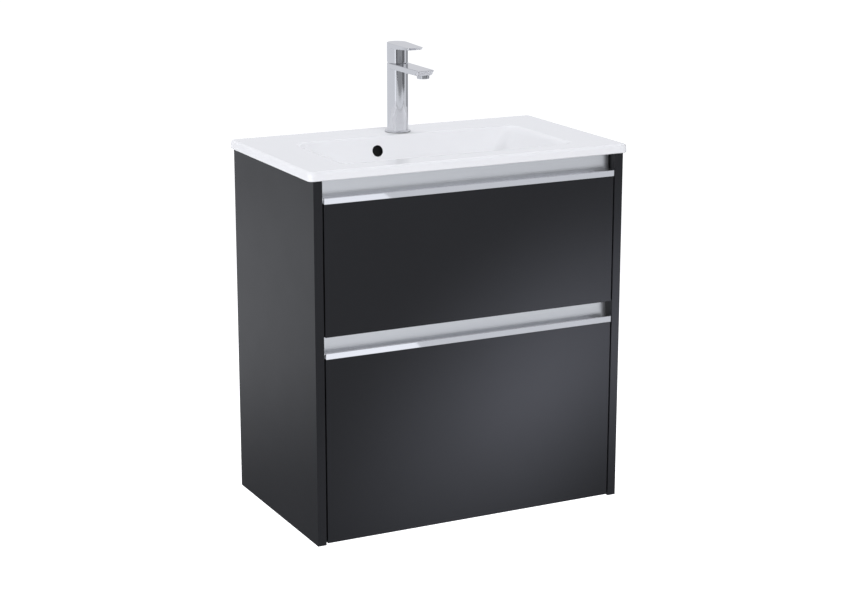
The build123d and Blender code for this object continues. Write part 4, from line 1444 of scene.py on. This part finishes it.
LAMPS = (
    Lamp("rear", (0.0, 1.3, 2.0), (0.0, -0.2, 0.0), (1.8, 1.8), 38.3),
    Lamp("key", (0.2, -2.6, 1.5), (0.0, -0.2, 0.0), (1.8, 1.8), 48.5),
    Lamp("front", (-2.7, -2.7, 0.5), (0.0, -0.3, 0.0), (2.0, 2.0), 8.8),
    Lamp("side", (-3.2, -0.6, -0.3), (0.0, -0.2, 0.0), (1.5, 1.5), 59.3),
    Lamp("accent", (2.2, -2.155, 1.014), (0.137, -0.352, -0.326), (0.324, 0.324), 4000.0, 7.04),
)

CARDS = (
    Card(
        "left_flag",
        upright(FLAG_Y, (-1.80, -0.153), (-1.0, -0.153), (-1.0, 0.60), (-1.80, 0.60)),
        0.16,
    ),
    Card(
        "middle_flag",
        upright(FLAG_Y, (-1.0, -0.153), (1.0, -0.160), (1.0, 0.60), (-1.0, 0.60)),
        0.32,
    ),
    Card(
        "right_flag",
        upright(FLAG_Y, (1.0, -0.160), (3.2, -0.396), (3.2, 0.60), (1.0, 0.60)),
        0.17,
    ),
    Card(
        "far_flag",
        ((1.6, -0.4, -0.6), (1.6, 1.6, -0.6), (1.6, 1.6, 0.60), (1.6, -0.4, 0.60)),
        0.4,
    ),
    *lip_cards("upper", (-0.262, -0.206), (0.4455, 0.371), (1.05, 0.70)),
    *lip_cards("lower", (-0.632, -0.570), (0.511, 0.463), (1.12, 0.72)),
    Card(
        "side_softbox",
        ((-0.95, 1.10, -0.80), (-0.45, 1.50, -0.80), (-0.45, 1.50, -0.33), (-0.95, 1.10, -0.33)),
        1.08,
    ),
    Card(
        "side_flag",
        ((-1.30, 0.10, -0.89), (-0.35, 0.10, -0.89), (-0.35, 1.05, -0.89), (-1.30, 1.05, -0.89)),
        0.16,
    ),
    Card(
        "strip",
        ((-1.21, -0.97, -0.60), (-1.09, -1.07, -0.60), (-1.09, -1.07, 0.30), (-1.21, -0.97, 0.30)),
        1.4,
    ),
)


@dataclass(frozen=True)
class Studio:
    """Floor, world, lamps and camera.

    Attributes:
        floor_height: how far below the wall screws the floor lies.
        floor_reach: half the floor's side.
        floor_tone: how pale the floor is.
        floor_glow: what the camera sees on top of the light on the floor.
        fade: distances between which the floor grows brighter in mirrors.
        fade_glow: how bright it looks in them, near and far.
        ambient: the world's light on the object.
        mirrored: the world's brightness in mirrors.
        eye: where the camera stands.
        yaw: how far it looks to the right of straight ahead, in degrees.
        pitch: how far it looks down, in degrees.
        lens: its focal length in millimetres.
        sensor: its sensor's width in millimetres.
    """

    floor_height: float = -0.90
    floor_reach: float = 40.0
    floor_tone: float = 0.75
    floor_glow: float = 0.78
    fade: Pair = (1.2, 5.0)
    fade_glow: Pair = (0.38, 0.80)
    ambient: float = 0.486
    mirrored: float = 0.9
    eye: Point = (-1.5958, -3.3603, 0.7124)
    yaw: float = 26.556
    pitch: float = 14.399
    lens: float = 86.90
    sensor: float = 36.0

    def seen(self, bench: Bench, camera: float, mirrored: float) -> Socket:
        """A strength for what the camera and what mirrors and glass see, and none for other rays.

        Args:
            bench: the nodes to add to.
            camera: strength for camera and transmitted rays.
            mirrored: strength for glossy rays.

        Returns:
            The strength's socket.
        """
        path = bench.add("ShaderNodeLightPath").outputs
        direct = bench.reckon("MAXIMUM", path["Is Camera Ray"], path["Is Transmission Ray"])
        shone = bench.reckon("MULTIPLY", path["Is Glossy Ray"], mirrored)
        return bench.reckon("MULTIPLY_ADD", direct, camera, shone)

    def build_world(self) -> None:
        """A white backdrop for the camera and for mirrors, and a soft even light for the rest."""
        world = bpy.data.worlds.new("studio")
        world.use_nodes = True
        bpy.context.scene.world = world
        bench = Bench(world.node_tree)
        extra = self.seen(bench, 1.0 - self.ambient, self.mirrored - self.ambient)
        strength = bench.reckon("ADD", extra, self.ambient)
        colour = tone(DAYLIGHT, BACKDROP)
        light = bench.add("ShaderNodeBackground", {"Color": colour, "Strength": strength})
        bench.add("ShaderNodeOutputWorld", {"Surface": light.outputs[0]})

    def floor_material(self) -> bpy.types.Material:
        """A matt floor that glows for the camera, and in mirrors grows brighter far away.

        Returns:
            The material.
        """
        material = bpy.data.materials.new("pale_floor")
        material.use_nodes = True
        bench = Bench(material.node_tree)
        pale = (self.floor_tone, self.floor_tone, self.floor_tone)
        matt = bench.add("ShaderNodeBsdfDiffuse", {"Color": tone(pale)})
        glow = bench.add("ShaderNodeEmission", {"Strength": self.seen(bench, self.floor_glow, 0.0)})
        both = bench.add("ShaderNodeAddShader", {0: matt.outputs[0], 1: glow.outputs[0]})
        place = bench.add("ShaderNodeNewGeometry").outputs["Position"]
        away = bench.add("ShaderNodeVectorMath", {0: place}, operation="LENGTH").outputs["Value"]
        fade = bench.ranged(away, self.fade, self.fade_glow)
        mirrored = bench.add("ShaderNodeEmission", {"Color": COOL, "Strength": fade})
        glossy = bench.add("ShaderNodeLightPath").outputs["Is Glossy Ray"]
        choice = bench.add(
            "ShaderNodeMixShader", {0: glossy, 1: both.outputs[0], 2: mirrored.outputs[0]}
        )
        bench.add("ShaderNodeOutputMaterial", {"Surface": choice.outputs[0]})
        return material

    def build_floor(self) -> None:
        """A wide pale floor that keeps the object's shadow."""
        side = np.linspace(-self.floor_reach, self.floor_reach, 3)
        x, y = np.meshgrid(side, side)
        sheet = np.stack([x, y, np.full_like(x, self.floor_height)], -1)
        index = np.arange(9).reshape(3, 3)
        quads = np.stack([index[:-1, :-1], index[:-1, 1:], index[1:, 1:], index[1:, :-1]], -1)
        mesh = bpy.data.meshes.new("floor")
        mesh.from_pydata(sheet.reshape(-1, 3).tolist(), [], quads.reshape(-1, 4).tolist())
        mesh.materials.append(self.floor_material())
        floor = bpy.data.objects.new("floor", mesh)
        bpy.context.scene.collection.objects.link(floor)

    def build_camera(self) -> None:
        """A camera at the photograph's angle, with no shift."""
        camera = bpy.data.cameras.new("camera")
        camera.lens = self.lens
        camera.sensor_width = self.sensor
        stand = bpy.data.objects.new("camera", camera)
        bpy.context.scene.collection.objects.link(stand)
        stand.location = self.eye
        stand.rotation_euler = (math.radians(90.0 - self.pitch), 0.0, -math.radians(self.yaw))
        bpy.context.scene.camera = stand

    def build(self) -> None:
        """Sets up everything around the object."""
        bpy.context.scene.view_settings.view_transform = "Standard"
        self.build_world()
        self.build_floor()
        for fitting in LAMPS + CARDS:
            fitting.build()
        self.build_camera()


def main() -> None:
    """Builds the classes in order."""
    logging.basicConfig(level=logging.INFO, format="%(name)s %(message)s")
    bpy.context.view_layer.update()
    Cabinet().dress()
    Basin().build()
    Tap().build()
    HandleProfile("upper", 0.0303, 0.0675).build()
    HandleProfile("lower", -0.23304, -0.19784).build()
    Studio().build()


if __name__ == "__main__":
    main()
